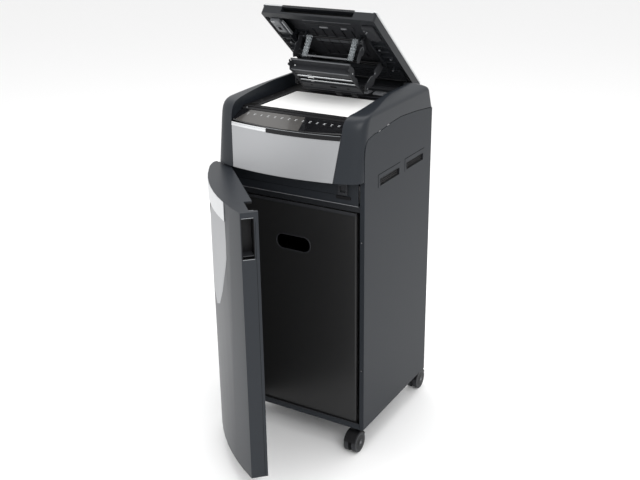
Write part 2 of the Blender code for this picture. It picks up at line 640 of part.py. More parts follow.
def door(axis):
    shell = prism("door_shell", "Z", door_outline(), DOOR_BOTTOM, DOOR_TOP)
    cavity = prism("cavity", "Z", door_outline(0.0045, 0.024), DOOR_BOTTOM + 0.0035, DOOR_TOP - 0.0035)
    cut(cavity, prism("behind_inset", "X", inset_wedge(0.0040, 0.004), TRIM_LEFT - 0.004,
        TRIM_RIGHT + 0.004))
    cut(cavity, block("behind_grip", (DOOR_LENGTH - 0.042, -0.060, 0.740), (DOOR_LENGTH, 0.0012, 0.870)))
    cut(shell, cavity)
    cut(shell, prism("inset", "X", inset_wedge(0.0, 0.0), TRIM_LEFT, TRIM_RIGHT))
    cut(shell, block("grip_room", (DOOR_LENGTH - 0.0360, -0.0362, 0.7478),
        (DOOR_LENGTH + 0.01, -0.0018, 0.8622)))
    cut(shell, block("latch_notch", (DOOR_LENGTH - 0.085, -0.012, DOOR_TOP - 0.028),
        (DOOR_LENGTH - 0.012, 0.02, DOOR_TOP + 0.01)))
    # bores for the hinge pins, and room round the lower bracket
    cut(shell, rod("upper_bore", "Z", (0, 0), 0.00315, DOOR_TOP - 0.016, DOOR_TOP + 0.01, 24))
    cut(shell, rod("lower_bore", "Z", (0, 0), 0.00315, DOOR_BOTTOM + 0.020, DOOR_BOTTOM + 0.038, 24))
    cut(shell, rod("bracket_room", "Z", (0, 0), 0.0165, DOOR_BOTTOM - 0.01, DOOR_BOTTOM + 0.0215, 24))
    finish(shell, "slate_plastic", axis)

    panel = block("door_inner_panel", (0.0245, -0.0070, DOOR_BOTTOM + 0.004),
        (DOOR_LENGTH - 0.0045, 0.0098, DOOR_TOP - 0.004))
    cut(panel, block("behind_grip", (DOOR_LENGTH - 0.0425, -0.02, 0.7395),
        (DOOR_LENGTH + 0.01, 0.0045, 0.8705)))
    cut(panel, block("tray", (0.0285, -0.0052, DOOR_BOTTOM + 0.008),
        (DOOR_LENGTH - 0.0085, 0.02, DOOR_TOP - 0.008)))
    cut(panel, block("latch_notch", (DOOR_LENGTH - 0.087, -0.02, DOOR_TOP - 0.032),
        (DOOR_LENGTH + 0.01, 0.02, DOOR_TOP + 0.01)))
    finish(panel, "black_plastic", axis)

    band = [(x, -door_outer(x) + 0.0004) for x in (0.350, 0.300, 0.258, 0.215, 0.172, 0.130, 0.080)]
    trim = prism("door_trim_band", "Z", [(x, y - 0.0022) for x, y in band]
        + [(x, y - 0.0007) for x, y in reversed(band)], TRIM_LOW + 0.0005, DOOR_TOP - 0.0005)
    finish(trim, "bright_silver", axis, True)

    inset = prism("door_inset_panel", "X", [(-INSET_DEEP - 0.0003, TRIM_LOW - 0.0005),
        (-INSET_FLUSH - 0.0003, INSET_LOW),
                                             (-INSET_FLUSH - 0.0025, INSET_LOW),
                                             (-INSET_DEEP - 0.0025, TRIM_LOW - 0.0005)], TRIM_LEFT + 0.0005,
                                             TRIM_RIGHT - 0.0005)
    keep(inset, prism("skin", "Z", door_outline(), DOOR_BOTTOM, DOOR_TOP))
    finish(inset, "silver_paint", axis)

    liner = block("door_grip_liner", (DOOR_LENGTH - 0.0355, -0.0358, 0.7482),
        (DOOR_LENGTH - 0.0005, -0.0022, 0.8618))
    cut(liner, block("grip", (DOOR_LENGTH - 0.0340, -0.0343, 0.7497),
        (DOOR_LENGTH + 0.01, -0.0037, 0.8603)))
    finish(liner, "black_plastic", axis)
    hook = prism("door_latch", "Z", [(DOOR_LENGTH - 0.0585, -0.0070), (DOOR_LENGTH - 0.0435, -0.0070),
        (DOOR_LENGTH - 0.0435, 0.0085), (DOOR_LENGTH - 0.0585, 0.0085)], DOOR_TOP - 0.0275,
        DOOR_TOP - 0.016)
    finish(hook, "grey_plastic", axis)


def door_hinges(root):
    x, y = DOOR_AXIS
    outline = [(x - 0.0100, -HALF_D - 0.0004), (x - 0.0100, y)] + ring_points((x, y), 0.0100, 6, math.pi,
        math.pi)[1:] + [(x + 0.0100, -HALF_D - 0.0004)]
    upper = prism("door_hinge_upper", "Z", outline, DOOR_TOP + 0.0006, DOOR_TOP + 0.0036)
    join(upper, rod("pin", "Z", (x, y), 0.0030, DOOR_TOP - 0.0145, DOOR_TOP + 0.002, 24))
    finish(upper, "steel", root)
    lower = prism("door_hinge_lower", "Z", outline, UNDERSIDE + 0.0050, UNDERSIDE + 0.0085)
    join(lower, rod("pin", "Z", (x, y), 0.0030, UNDERSIDE + 0.006, UNDERSIDE + 0.0250, 24))
    finish(lower, "steel", root)


# ---------------------------------------------------------------- lid
def under_lid(s, d):
    """(y, z) from the lid's hinge of a point s from its rear edge and d under its top face, lid closed."""
    return (LID_REAR - s, LID_RISE - d)


def lid_slab(name, half, front, rear, top, bottom, radius=0.010):
    plan = rounded([(-half, LID_REAR - front, radius), (half, LID_REAR - front, radius),
        (half, LID_REAR - rear, 0.004), (-half, LID_REAR - rear, 0.004)])
    return prism(name, "Z", plan, LID_RISE - bottom, LID_RISE - top)


def lid_box(name, x0, x1, s0, s1, d0, d1):
    return block(name, (x0, LID_REAR - s1, LID_RISE - d1), (x1, LID_REAR - s0, LID_RISE - d0))


def lid(axis):
    shell = lid_slab("lid_shell", LID_HALF_WIDTH, LID_LENGTH, 0.0, 0.0029, LID_DEPTH)
    cut(shell, lid_box("inside", -LID_HALF_WIDTH + 0.004, LID_HALF_WIDTH - 0.004, 0.004, LID_LENGTH - 0.024,
        0.0060, 0.08))
    cut(shell, lid_box("finger_recess", -0.118, 0.118, LID_LENGTH - 0.020, LID_LENGTH + 0.02, 0.0075,
        0.0235))
    for side in (-1, 1):
        low, high = sorted((side * 0.1505, side * 0.1665))
        lug = [under_lid(0.006, 0.0045), under_lid(0.045, 0.0045),
            under_lid(0.040, 0.028)] + ring_points((0, 0), 0.0105, 10, math.radians(200), math.radians(170))
        hinge_lug = prism("lug", "X", [(a, b) for a, b in lug] + [under_lid(0.006, 0.030)], low, high)
        cut(hinge_lug, rod("bore", "X", (0, 0), 0.00415, low - 0.01, high + 0.01, 24))
        join(shell, hinge_lug)
    finish(shell, "slate_plastic", axis)

    skin = lid_slab("lid_top_skin", LID_HALF_WIDTH, LID_LENGTH, 0.0, 0.0, 0.0025)
    cut(skin, lid_box("centre", -0.1180, 0.1180, 0.030, LID_LENGTH + 0.01, -0.01, 0.01))
    finish(skin, "bright_silver", axis)
    finish(lid_box("lid_centre_panel", -0.1175, 0.1175, 0.0305, LID_LENGTH, 0.0004, 0.0025), "gloss_black",
        axis)

    under = lid_box("lid_under_frame", -0.1810, 0.1810, 0.0480, LID_LENGTH - 0.0245, 0.0215, 0.0260)
    cut(under, lid_box("mouth", -0.1310, 0.1310, 0.1250, 0.3740, 0.0, 0.05))
    for side in (-1, 1):
        low, high = sorted((side * 0.1215, side * 0.1330))
        s, d = ARM_PIVOT
        join(under, lid_box("lug", low, high, s - 0.008, s + 0.008, d - 0.0085, d + 0.0075))
        low, high = sorted((side * 0.0880, side * 0.0940))
        s, d = BAIL_PIVOT
        stalk = lid_box("stalk", low, high, s - 0.0045, s + 0.0045, 0.0065, d + 0.0045)
        low, high = sorted((side * 0.0880, side * 0.1330))
        bridge = lid_box("bridge", low, high, s - 0.0045, s + 0.0045, 0.0065, 0.0105)
        low, high = sorted((side * 0.1270, side * 0.1330))
        post = lid_box("post", low, high, s - 0.0045, s + 0.0045, 0.0065, 0.0255)
        join(under, join(stalk, bridge, post))
        for (s, d), x in ((ARM_PIVOT, 0.1297), (BAIL_PIVOT, 0.0990)):
            radius = 0.0033 if x > 0.1 else 0.0028
            low, high = sorted((0.0, side * (x + 0.0005)))
            cut(under, rod("bore", "X", under_lid(s, d), radius, low, high, 20))
    finish(under, "black_plastic", axis)
    finish(lid_box("lid_latch_left", -0.1660, -0.1360, 0.305, 0.368, 0.0264, 0.0350), "grey_plastic", axis)
    finish(lid_box("lid_latch_right", 0.1360, 0.1720, 0.300, 0.368, 0.0264, 0.0350), "black_plastic", axis)


def from_pivot(pivot, s, d):
    """(y, z) from a pivot to a point, both given by distance from the lid's rear edge and depth."""
    return (pivot[0] - s, pivot[1] - d)


def press_arms(axis):
    """Two cheeks on an upper rod, joined again by the rod that carries the pressure frame."""
    foot = from_pivot(ARM_PIVOT, *FRAME_PIVOT)
    lean = math.atan2(foot[1], foot[0])
    outline = ring_points((0, 0), 0.0110, 6, lean + math.pi / 2 + 0.2, math.pi - 0.4) + ring_points(foot,
        0.0085, 6, lean - math.pi / 2, math.pi)
    arms = rod("press_arms", "X", (0, 0), 0.0030, -0.1292, 0.1292, 16)
    for side in (-1, 1):
        low, high = sorted((side * 0.1130, side * 0.1180))
        join(arms, prism("cheek", "X", outline, low, high))
    join(arms, rod("lower_rod", "X", foot, 0.0028, -0.1150, 0.1150, 16))
    finish(arms, "black_plastic", axis)


def press_frame(axis):
    """Sheet frame that rests on the stack: rear plate, two rails, stepped front plate and two ears."""
    def point(s, d):
        return from_pivot(FRAME_PIVOT, s, d)

    frame = prism("press_frame", "X", [point(0.169, 0.1380), point(0.206, 0.1380), point(0.206, 0.1410),
        point(0.169, 0.1410)], -0.1000, 0.1000)
    step = [point(0.2520, 0.1390), point(0.2520, 0.1362), point(0.2750, 0.1362), point(0.2700, 0.1210),
        point(0.2960, 0.1120),
            point(0.2972, 0.1150), point(0.2745, 0.1230), point(0.2800, 0.1390)]
    for side in (-1, 1):
        low, high = sorted((side * 0.0945, side * 0.1000))
        rail = prism("rail", "X", [point(0.170, 0.1340), point(0.278, 0.1345), point(0.278, 0.1405),
            point(0.170, 0.1405)], low, high)
        join(rail, prism("ear", "X", ring_points((0, 0), 0.0075, 14), low, high))
        cut(rail, rod("bore", "X", (0, 0), 0.0030, low - 0.01, high + 0.01, 20))
        join(frame, rail)
    join(frame, prism("step", "X", step, -0.1000, 0.1000))
    finish(frame, "black_plastic", axis)
    for name, s in (("press_bar_rear", 0.2165), ("press_bar_front", 0.2400)):
        finish(rod(name, "X", point(s, 0.1372), 0.0033, -0.0940, 0.0940, 12), "chrome", axis, True)


def guide_bail(axis):
    """Two clear links on a rod, tied at their free ends by a second rod."""
    end = from_pivot(BAIL_PIVOT, *BAIL_END)
    bail = rod("guide_bail", "X", (0, 0), 0.0025, -0.0980, 0.0980, 16)
    lean = math.atan2(end[1], end[0])
    outline = ring_points((0, 0), 0.0040, 5, lean + math.pi / 2, math.pi) + ring_points(end, 0.0040, 5,
        lean - math.pi / 2, math.pi)
    for side in (-1, 1):
        low, high = sorted((side * 0.0700, side * 0.0840))
        join(bail, prism("link", "X", outline, low, high))
    join(bail, rod("lower_rod", "X", end, 0.0022, -0.0800, 0.0800, 12))
    finish(bail, "clear_plastic", axis)


# ---------------------------------------------------------------- casters
def caster(number, side_x, side_y, root):
    """A swivel fork under the base and a twin wheel that trails behind its stem."""
    stem = (side_x * STEM_X, STEM_REAR if side_y > 0 else -STEM_FRONT)
    swivel = empty(f"caster_{number}_stem", (stem[0], stem[1], 0), (0, 0, side_y * math.pi / 2), root)
    axle = empty(f"caster_{number}_axle", (TRAIL, 0, WHEEL_R), (0, 0, 0), swivel)
    fork = rod(f"caster_{number}_fork", "Z", (0, 0), 0.0110, 0.0670, UNDERSIDE - 0.0005, 16)
    web = [(-0.0110, 0.0700), (-0.0110, 0.0580), (0.0000, 0.0400), (0.0160, 0.0240), (0.0360, 0.0240),
           (0.0420, 0.0360), (0.0400, 0.0520), (0.0280, 0.0630), (0.0110, 0.0700)]
    join(fork, prism("web", "Y", web, -0.0048, 0.0048))
    cut(fork, rod("bore", "Y", (TRAIL, WHEEL_R), 0.0034, -0.02, 0.02, 16))
    finish(fork, "black_plastic", swivel)
    wheel = rod(f"caster_{number}_wheels", "Y", (0, 0), 0.0030, -0.0100, 0.0100, 16)
    for side in (-1, 1):
        low, high = sorted((side * 0.0056, side * 0.0205))
        join(wheel, rod("disc", "Y", (0, 0), WHEEL_R, low, high, 24))
    finish(wheel, "black_plastic", axle, True)


# ---------------------------------------------------------------- assembly
clear_scene()
root = empty("cabinet_middle", PLACE)
door_axis = empty("door_axis", (DOOR_AXIS[0], DOOR_AXIS[1], 0), (0, 0, -DOOR_OPEN), root)
lid_axis = empty("lid_axis", (0, LID_HINGE[0], LID_HINGE[1]), (-LID_OPEN, 0, 0), root)
arm_place = under_lid(*ARM_PIVOT)
arm_axis = empty("arm_axis", (0, arm_place[0], arm_place[1]), parent=lid_axis)
frame_place = from_pivot(ARM_PIVOT, *FRAME_PIVOT)
frame_axis = empty("frame_axis", (0, frame_place[0], frame_place[1]), parent=arm_axis)
bail_place = under_lid(*BAIL_PIVOT)
bail_axis = empty("bail_axis", (0, bail_place[0], bail_place[1]), parent=lid_axis)
front_axis = empty("front_cutter_axis", (0, SHAFT_FRONT_Y, SHAFT_Z), parent=root)
rear_axis = empty("rear_cutter_axis", (0, SHAFT_REAR_Y, SHAFT_Z), parent=root)
wheel_axis = empty("reduction_axis", (0, 0.059, SHAFT_Z), parent=root)
pinion_axis = empty("pinion_axis", (0, 0.113, SHAFT_Z), parent=root)
pick_axis = empty("pick_axis", (0, SHAFT_FRONT_Y, SHAFT_Z + 0.0405), parent=root)
rocker_axis = empty("rocker_axis", (0.119, HALF_D + 0.0040, 0.133), parent=root)

cabinet(root)
waste_bin(root)
head(root)
cutting_unit(root, front_axis, rear_axis, wheel_axis, pinion_axis, pick_axis)
rear_fittings(root, rocker_axis)
door_hinges(root)
door(door_axis)
lid(lid_axis)
press_arms(arm_axis)
press_frame(frame_axis)
guide_bail(bail_axis)
for number, (side_x, side_y) in enumerate(((-1, -1), (1, -1), (-1, 1), (1, 1)), 1):
    caster(number, side_x, side_y, root)
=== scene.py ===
import math

import bmesh
import bpy
from mathutils import Matrix, Vector


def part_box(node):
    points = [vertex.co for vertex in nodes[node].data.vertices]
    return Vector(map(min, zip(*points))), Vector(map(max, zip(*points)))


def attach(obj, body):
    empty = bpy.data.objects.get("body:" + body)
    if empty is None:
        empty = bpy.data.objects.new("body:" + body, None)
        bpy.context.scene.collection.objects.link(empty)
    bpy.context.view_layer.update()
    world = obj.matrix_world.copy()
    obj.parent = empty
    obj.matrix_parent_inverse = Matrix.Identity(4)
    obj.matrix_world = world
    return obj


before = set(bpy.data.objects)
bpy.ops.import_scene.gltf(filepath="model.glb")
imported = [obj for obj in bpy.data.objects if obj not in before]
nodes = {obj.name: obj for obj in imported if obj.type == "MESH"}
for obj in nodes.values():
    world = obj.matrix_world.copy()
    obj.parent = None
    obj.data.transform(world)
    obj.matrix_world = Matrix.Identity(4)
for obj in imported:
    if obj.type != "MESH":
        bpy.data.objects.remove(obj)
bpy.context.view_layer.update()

# ---------------------------------------------------------------- shared measurements
low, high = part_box("base_plate")
CX, CY = (low.x + high.x) / 2, (low.y + high.y) / 2  # middle of the cabinet's footprint
HALF_W, HALF_D = 0.240, 0.2225
LID_PIVOT = Vector((CX, 0.205 + CY, 1.031))
LID_OPEN = math.radians(40.2)
DOOR_PIVOT = Vector((-0.222 + CX, -0.2335 + CY, 0.0))
HEAD_BOTTOM = 0.883


# ---------------------------------------------------------------- materials
def material(name, colour, roughness, metallic=0.0, grain=0.02, grain_size=1400.0, coat=0.0, alpha=1.0,
    anisotropy=0.0,
             specular=0.5):
    """A Principled material whose surface carries a fine procedural grain."""
    made = bpy.data.materials.new(name)
    made.use_nodes = True
    tree = made.node_tree
    shader = tree.nodes["Principled BSDF"]
    shader.inputs["Base Color"].default_value = (*colour, 1.0)
    shader.inputs["Roughness"].default_value = roughness
    shader.inputs["Metallic"].default_value = metallic
    shader.inputs["Specular IOR Level"].default_value = specular
    shader.inputs["Coat Weight"].default_value = coat
    shader.inputs["Coat Roughness"].default_value = 0.08
    shader.inputs["Anisotropic"].default_value = anisotropy
    if alpha < 1.0:
        shader.inputs["Alpha"].default_value = alpha
    place = tree.nodes.new("ShaderNodeTexCoord")
    noise = tree.nodes.new("ShaderNodeTexNoise")
    noise.inputs["Scale"].default_value = grain_size
    noise.inputs["Detail"].default_value = 2.0
    bump = tree.nodes.new("ShaderNodeBump")
    bump.inputs["Strength"].default_value = grain
    bump.inputs["Distance"].default_value = 0.0004
    tree.links.new(place.outputs["Object"], noise.inputs["Vector"])
    tree.links.new(noise.outputs["Fac"], bump.inputs["Height"])
    tree.links.new(bump.outputs["Normal"], shader.inputs["Normal"])
    return made


PAINT = material("cabinet_paint", (0.017, 0.0200, 0.0245), 0.45, grain=0.05, grain_size=1800, specular=0.16)
PAINT_DARK = material("cabinet_paint_dark", (0.012, 0.013, 0.015), 0.45, grain=0.05, grain_size=1800,
    specular=0.26)
SLATE = material("slate_plastic", (0.015, 0.0180, 0.0225), 0.36, grain=0.08, grain_size=1600, specular=0.24)
DOOR_GREY = material("door_plastic", (0.019, 0.0220, 0.0268), 0.36, grain=0.06, grain_size=1600,
    specular=0.22)
BLACK = material("black_plastic", (0.006, 0.006, 0.007), 0.48, grain=0.06, grain_size=1500, specular=0.22)
COAL = material("coal_plastic", (0.022, 0.023, 0.026), 0.50, grain=0.06, grain_size=1500, specular=0.28)
GLOSS = material("gloss_black", (0.006, 0.006, 0.007), 0.12, grain=0.004, coat=0.5)
SMOKE = material("smoked_panel", (0.048, 0.045, 0.042), 0.30, grain=0.01, coat=0.3)
SILVER = material("silver_panel", (0.33, 0.335, 0.345), 0.50, metallic=0.60, grain=0.02, grain_size=2500)
BRIGHT = material("bright_silver", (0.56, 0.57, 0.58), 0.34, metallic=0.70, grain=0.01, grain_size=2500)
GREY = material("grey_plastic", (0.16, 0.165, 0.175), 0.42, grain=0.05)
BIN = material("bin_plastic", (0.015, 0.015, 0.0155), 0.36, grain=0.05, grain_size=900, specular=0.32)
CHROME = material("chrome", (0.38, 0.39, 0.40), 0.22, metallic=1.0, grain=0.002)
STEEL = material("steel", (0.42, 0.42, 0.42), 0.34, metallic=1.0, grain=0.03, anisotropy=0.3)
RUBBER = material("rubber", (0.016, 0.016, 0.017), 0.75, grain=0.12, grain_size=900)
PAPER = material("paper", (0.93, 0.93, 0.92), 0.85, grain=0.02, grain_size=700)
CLEAR = material("clear_plastic", (0.36, 0.39, 0.41), 0.08, grain=0.0, alpha=0.34)
BOARD = material("circuit_board", (0.015, 0.12, 0.05), 0.45, grain=0.05)
WHITE_INK = material("white_ink", (0.50, 0.51, 0.52), 0.5, grain=0.0)
# near-black plates: painted shade filling holes, slots, pockets and recess floors, and the colour of dark
# seams
SHADE_AND_SEAM_BLACK = material("painted_shade_and_seam_black", (0.003, 0.003, 0.003), 0.8, grain=0.0, specular=0.1)
LID_DARK = material("lid_plastic", (0.012, 0.0135, 0.016), 0.42, grain=0.06, grain_size=1600, specular=0.26)
FASCIA = material("fascia_plastic", (0.016, 0.0185, 0.0225), 0.45, grain=0.05, specular=0.28)
LATCH_GREY = material("latch_grey", (0.105, 0.110, 0.118), 0.42, grain=0.05)
SATIN = material("satin_grey", (0.22, 0.23, 0.24), 0.30, metallic=0.3, grain=0.02)
FLOOR = material("studio_floor", (0.93, 0.93, 0.93), 0.9, grain=0.0)

NODE_LOOK = {
    "base_plate": PAINT, "left_side_panel": PAINT, "right_side_panel": PAINT, "rear_panel": PAINT,
    "front_rail": PAINT_DARK,
    "head_shelf": STEEL, "waste_bin": BIN, "fascia": FASCIA, "door_striker": COAL,
    "left_vent_grille": BLACK,
    "right_vent_grille": BLACK, "power_inlet": BLACK, "left_head_cover": SLATE, "right_head_cover": SLATE,
    "rear_head_cover": SLATE, "front_panel": SILVER, "front_trim": GLOSS, "control_panel": GLOSS,
    "paper_tray": BLACK,
    "tray_bezel": BLACK, "paper_stack": PAPER, "lid_hinge_bracket_left": STEEL,
    "lid_hinge_bracket_right": STEEL,
    "door_hinge_upper": STEEL, "door_hinge_lower": STEEL, "cutter_frame_left": STEEL,
    "cutter_frame_right": STEEL,
    "motor": STEEL, "control_board": BOARD, "door_shell": DOOR_GREY, "door_inner_panel": BLACK,
    "door_trim_band": BRIGHT,
    "door_inset_panel": SILVER, "door_grip_liner": BLACK, "door_latch": GREY, "lid_shell": LID_DARK,
    "lid_top_skin": BRIGHT,
    "lid_centre_panel": GLOSS, "lid_under_frame": LID_DARK, "lid_latch_left": LATCH_GREY,
    "lid_latch_right": COAL,
    "press_arms": BLACK, "press_frame": COAL, "press_bar_front": CHROME, "press_bar_rear": CHROME,
    "guide_bail": CLEAR,
    "cutter_shaft_front": STEEL, "cutter_shaft_rear": STEEL, "reduction_gear": GREY, "motor_pinion": STEEL,
    "pick_roller": RUBBER, "mains_rocker": GLOSS,
}
for number in range(1, 5):
    NODE_LOOK[f"caster_{number}_fork"] = COAL
    NODE_LOOK[f"caster_{number}_wheels"] = COAL

SOFT_EDGES = {
    "left_head_cover": 0.0016, "right_head_cover": 0.0016, "door_shell": 0.0022, "lid_shell": 0.0008,
    "waste_bin": 0.0010,
    "front_panel": 0.0006, "front_trim": 0.0008, "rear_head_cover": 0.0004, "tray_bezel": 0.0008,
    "press_frame": 0.0006,
    "press_arms": 0.0008, "lid_under_frame": 0.0006, "lid_latch_left": 0.0010, "lid_latch_right": 0.0010,
    "door_grip_liner": 0.0004, "door_trim_band": 0.0005, "door_inset_panel": 0.0005,
    "control_panel": 0.0006,
    "left_side_panel": 0.0004, "right_side_panel": 0.0004, "base_plate": 0.0004, "front_rail": 0.0005,
    "fascia": 0.0005,
    "door_striker": 0.0006, "lid_top_skin": 0.0006, "lid_centre_panel": 0.0004, "paper_stack": 0.0004,
    "power_inlet": 0.0006,
}
for number in range(1, 5):
    SOFT_EDGES[f"caster_{number}_wheels"] = 0.0020
    SOFT_EDGES[f"caster_{number}_fork"] = 0.0010


def smooth(obj, angle=32):
    for polygon in obj.data.polygons:
        polygon.use_smooth = True
    obj.data.set_sharp_from_angle(angle=math.radians(angle))


def soften(obj, width, segments=2, merge=True, limit=32):
    """Rounds an object's edges without touching its mesh."""
    if merge:
        weld = obj.modifiers.new("weld", "WELD")
        weld.merge_threshold = 0.00002
        flat = obj.modifiers.new("flat", "DECIMATE")
        flat.decimate_type = "DISSOLVE"
        flat.angle_limit = math.radians(0.6)
    bevel = obj.modifiers.new("edges", "BEVEL")
    bevel.width = width
    bevel.segments = segments
    bevel.limit_method = "ANGLE"
    bevel.angle_limit = math.radians(limit)
    bevel.use_clamp_overlap = True
    bevel.harden_normals = False


def dress_node(name):
    obj = nodes[name]
    obj.data.materials.clear()
    obj.data.materials.append(NODE_LOOK[name])
    soften(obj, SOFT_EDGES.get(name, 0.0003), 3 if SOFT_EDGES.get(name, 0) > 0.0015 else 2,
        name != "rear_head_cover")
    obj.data.shade_smooth()
    smoother = obj.modifiers.new("shading", "WEIGHTED_NORMAL")
    smoother.keep_sharp = True
    smoother.weight = 80


for node_name in nodes:
    dress_node(node_name)


# ---------------------------------------------------------------- helpers for the added pieces
def mesh_object(name, vertices, faces, look):
    mesh = bpy.data.meshes.new(name)
    mesh.from_pydata([tuple(v) for v in vertices], [], faces)
    shape = bmesh.new()
    shape.from_mesh(mesh)
    bmesh.ops.recalc_face_normals(shape, faces=shape.faces)
    shape.to_mesh(mesh)
    shape.free()
    obj = bpy.data.objects.new(name, mesh)
    bpy.context.scene.collection.objects.link(obj)
    obj.data.materials.append(look)
    return obj


def prism(name, axis, outline, start, end, look, bevel=0.0, segments=2):
    """Extrudes a 2-D outline: axis X takes (y, z), Y takes (x, z) and Z takes (x, y)."""
    def place(level):
        if axis == "X":
            return [(level, a, b) for a, b in outline]
        if axis == "Y":
            return [(a, level, b) for a, b in outline]
        return [(a, b, level) for a, b in outline]
    count = len(outline)
    faces = [(i, (i + 1) % count, count + (i + 1) % count, count + i) for i in range(count)]
    faces += [tuple(range(count)), tuple(range(2 * count - 1, count - 1, -1))]
    obj = mesh_object(name, place(start) + place(end), faces, look)
    if bevel:
        soften(obj, bevel, segments, merge=False)
    smooth(obj)
    return obj


def block(name, lo, hi, look, bevel=0.0005):
    outline = [(lo[0], lo[1]), (hi[0], lo[1]), (hi[0], hi[1]), (lo[0], hi[1])]
    return prism(name, "Z", outline, lo[2], hi[2], look, bevel)


def disc_points(centre, radius, steps, start=0.0, sweep=math.tau):
    """Points along a circle, or along the arc of it that sweep covers."""
    closed = abs(sweep - math.tau) < 1e-6
    angles = [start + sweep * i / steps for i in range(steps if closed else steps + 1)]
    return [(centre[0] + radius * math.cos(angle), centre[1] + radius * math.sin(angle)) for angle in angles]


def rod(name, axis, centre, radius, start, end, look, steps=20, bevel=0.0):
    return prism(name, axis, disc_points(centre, radius, steps), start, end, look, bevel)


def tube(name, points, radius, look, closed=False, sides=8):
    """A round bar along a polyline."""
    curve = bpy.data.curves.new(name, "CURVE")
    curve.dimensions = "3D"
    curve.bevel_depth = radius
    curve.bevel_resolution = max(1, sides // 4)
    curve.use_fill_caps = not closed
    spline = curve.splines.new("POLY")
    spline.points.add(len(points) - 1)
    for target, point in zip(spline.points, points):
        target.co = (*point, 1.0)
    spline.use_cyclic_u = closed
    made = bpy.data.objects.new(name + "_line", curve)
    bpy.context.scene.collection.objects.link(made)
    bpy.context.view_layer.update()
    mesh = bpy.data.meshes.new_from_object(made.evaluated_get(bpy.context.evaluated_depsgraph_get()))
    bpy.data.objects.remove(made, do_unlink=True)
    obj = bpy.data.objects.new(name, mesh)
    bpy.context.scene.collection.objects.link(obj)
    obj.data.materials.clear()
    obj.data.materials.append(look)
    smooth(obj, 50)
    return obj


def rounded(corners, steps=5):
    """Rounds the corners of an outline, each given as (a, b, radius)."""
    outline = []
    for i, (a, b, radius) in enumerate(corners):
        here = Vector((a, b))
        if radius <= 0:
            outline.append((a, b))
            continue
        before_edge = (Vector(corners[i - 1][:2]) - here).normalized()
        after_edge = (Vector(corners[(i + 1) % len(corners)][:2]) - here).normalized()
        half = before_edge.angle(after_edge) / 2
        reach = radius / math.tan(half)
        centre = here + (before_edge + after_edge).normalized() * (radius / math.sin(half))
        first = here + before_edge * reach - centre
        turn = first.angle_signed(here + after_edge * reach - centre)
        for k in range(steps + 1):
            point = first.copy()
            point.rotate(Matrix.Rotation(-turn * k / steps, 2))
            outline.append(tuple(centre + point))
    return outline


def side_span(side, near, far):
    """The two ends across the machine of a piece on one side, lower end first."""
    return sorted((side * near, side * far))


def on_cabinet(obj, body="cabinet"):
    """Moves a piece drawn from the cabinet's middle into place and ties it to its body."""
    obj.data.transform(Matrix.Translation((CX, CY, 0)))
    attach(obj, body)
    return obj


DOOR_TURN = Matrix.Translation(DOOR_PIVOT) @ Matrix.Rotation(-math.radians(45.0), 4, "Z")


def on_door(obj):
    """Places a piece drawn along the door: x from the hinge, y towards the cabinet when it is shut."""
    obj.data.transform(DOOR_TURN)
    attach(obj, "door")
    return obj


LID_TURN = Matrix.Translation(LID_PIVOT) @ Matrix.Rotation(-LID_OPEN, 4, "X")


# the lid's rear edge and top, measured from its hinge with the lid shut
LID_REAR, LID_TOP = 0.015, 0.052


def under_lid(s, d):
    """The (y, z) place, from the hinge, of a point s from the rear edge and d below the top."""
    return (LID_REAR - s, LID_TOP - d)


def on_lid(obj, body="lid"):
    """Places a piece drawn round the lid's hinge with the lid shut."""
    obj.data.transform(LID_TURN)
    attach(obj, body)
    return obj


def lid_block(name, x0, x1, s0, s1, d0, d1, look, bevel=0.0006):
    return block(name, (x0, LID_REAR - s1, LID_TOP - d1), (x1, LID_REAR - s0, LID_TOP - d0), look, bevel)


# ---------------------------------------------------------------- head: front strip, icons and seams
def front_y(x, z):
    """The head's front face, leaning back as it rises."""
    return -0.289 + 0.62 * x * x + 0.15 * (z - HEAD_BOTTOM)


def front_band(name, x0, x1, z0, z1, look, stand_off=0.0008, steps=10):
    """A thin band laid on the head's curved front."""
    vertices, faces = [], []
    for i in range(steps + 1):
        x = x0 + (x1 - x0) * i / steps
        for z, depth in ((z0, stand_off), (z1, stand_off), (z1, -0.0004), (z0, -0.0004)):
            vertices.append((x, front_y(x, z) - depth, z))
    for i in range(steps):
        for k in range(4):
            faces.append((4 * i + k, 4 * i + (k + 1) % 4, 4 * i + 4 + (k + 1) % 4, 4 * i + 4 + k))
    faces += [(0, 1, 2, 3), (4 * steps, 4 * steps + 1, 4 * steps + 2, 4 * steps + 3)]
    obj = mesh_object(name, vertices, faces, look)
    smooth(obj)
    return on_cabinet(obj)


front_band("trim_silver", -0.1790, -0.0500, 1.0015, 1.0118, BRIGHT, 0.0012)
front_band("trim_silver_line", -0.1790, -0.0500, 1.0080, 1.0086, GREY, 0.0014)
front_band("trim_black", -0.0490, 0.1790, 1.0000, 1.0118, BLACK, 0.0012)
front_band("trim_light_line", -0.0490, 0.1790, 1.0122, 1.0132, SATIN, 0.0012)


def strip_z(y):
    """Top of the sloping control strip."""
    return 1.0122 + (y + 0.2720) * 0.0243 / 0.1015


def strip_plate(name, corners, look, lift=0.0006, thickness=0.0005):
    """A thin plate on the control strip, from its plan outline."""
    top = [(x, y, strip_z(y) + lift) for x, y in corners]
    bottom = [(x, y, strip_z(y) + lift - thickness) for x, y in corners]
    count = len(corners)
    faces = [tuple(range(count)), tuple(range(2 * count - 1, count - 1, -1))]
    faces += [(i, (i + 1) % count, count + (i + 1) % count, count + i) for i in range(count)]
    return on_cabinet(mesh_object(name, top + bottom, faces, look))


def strip_front(x):
    return front_y(x, 1.012) + 0.0062


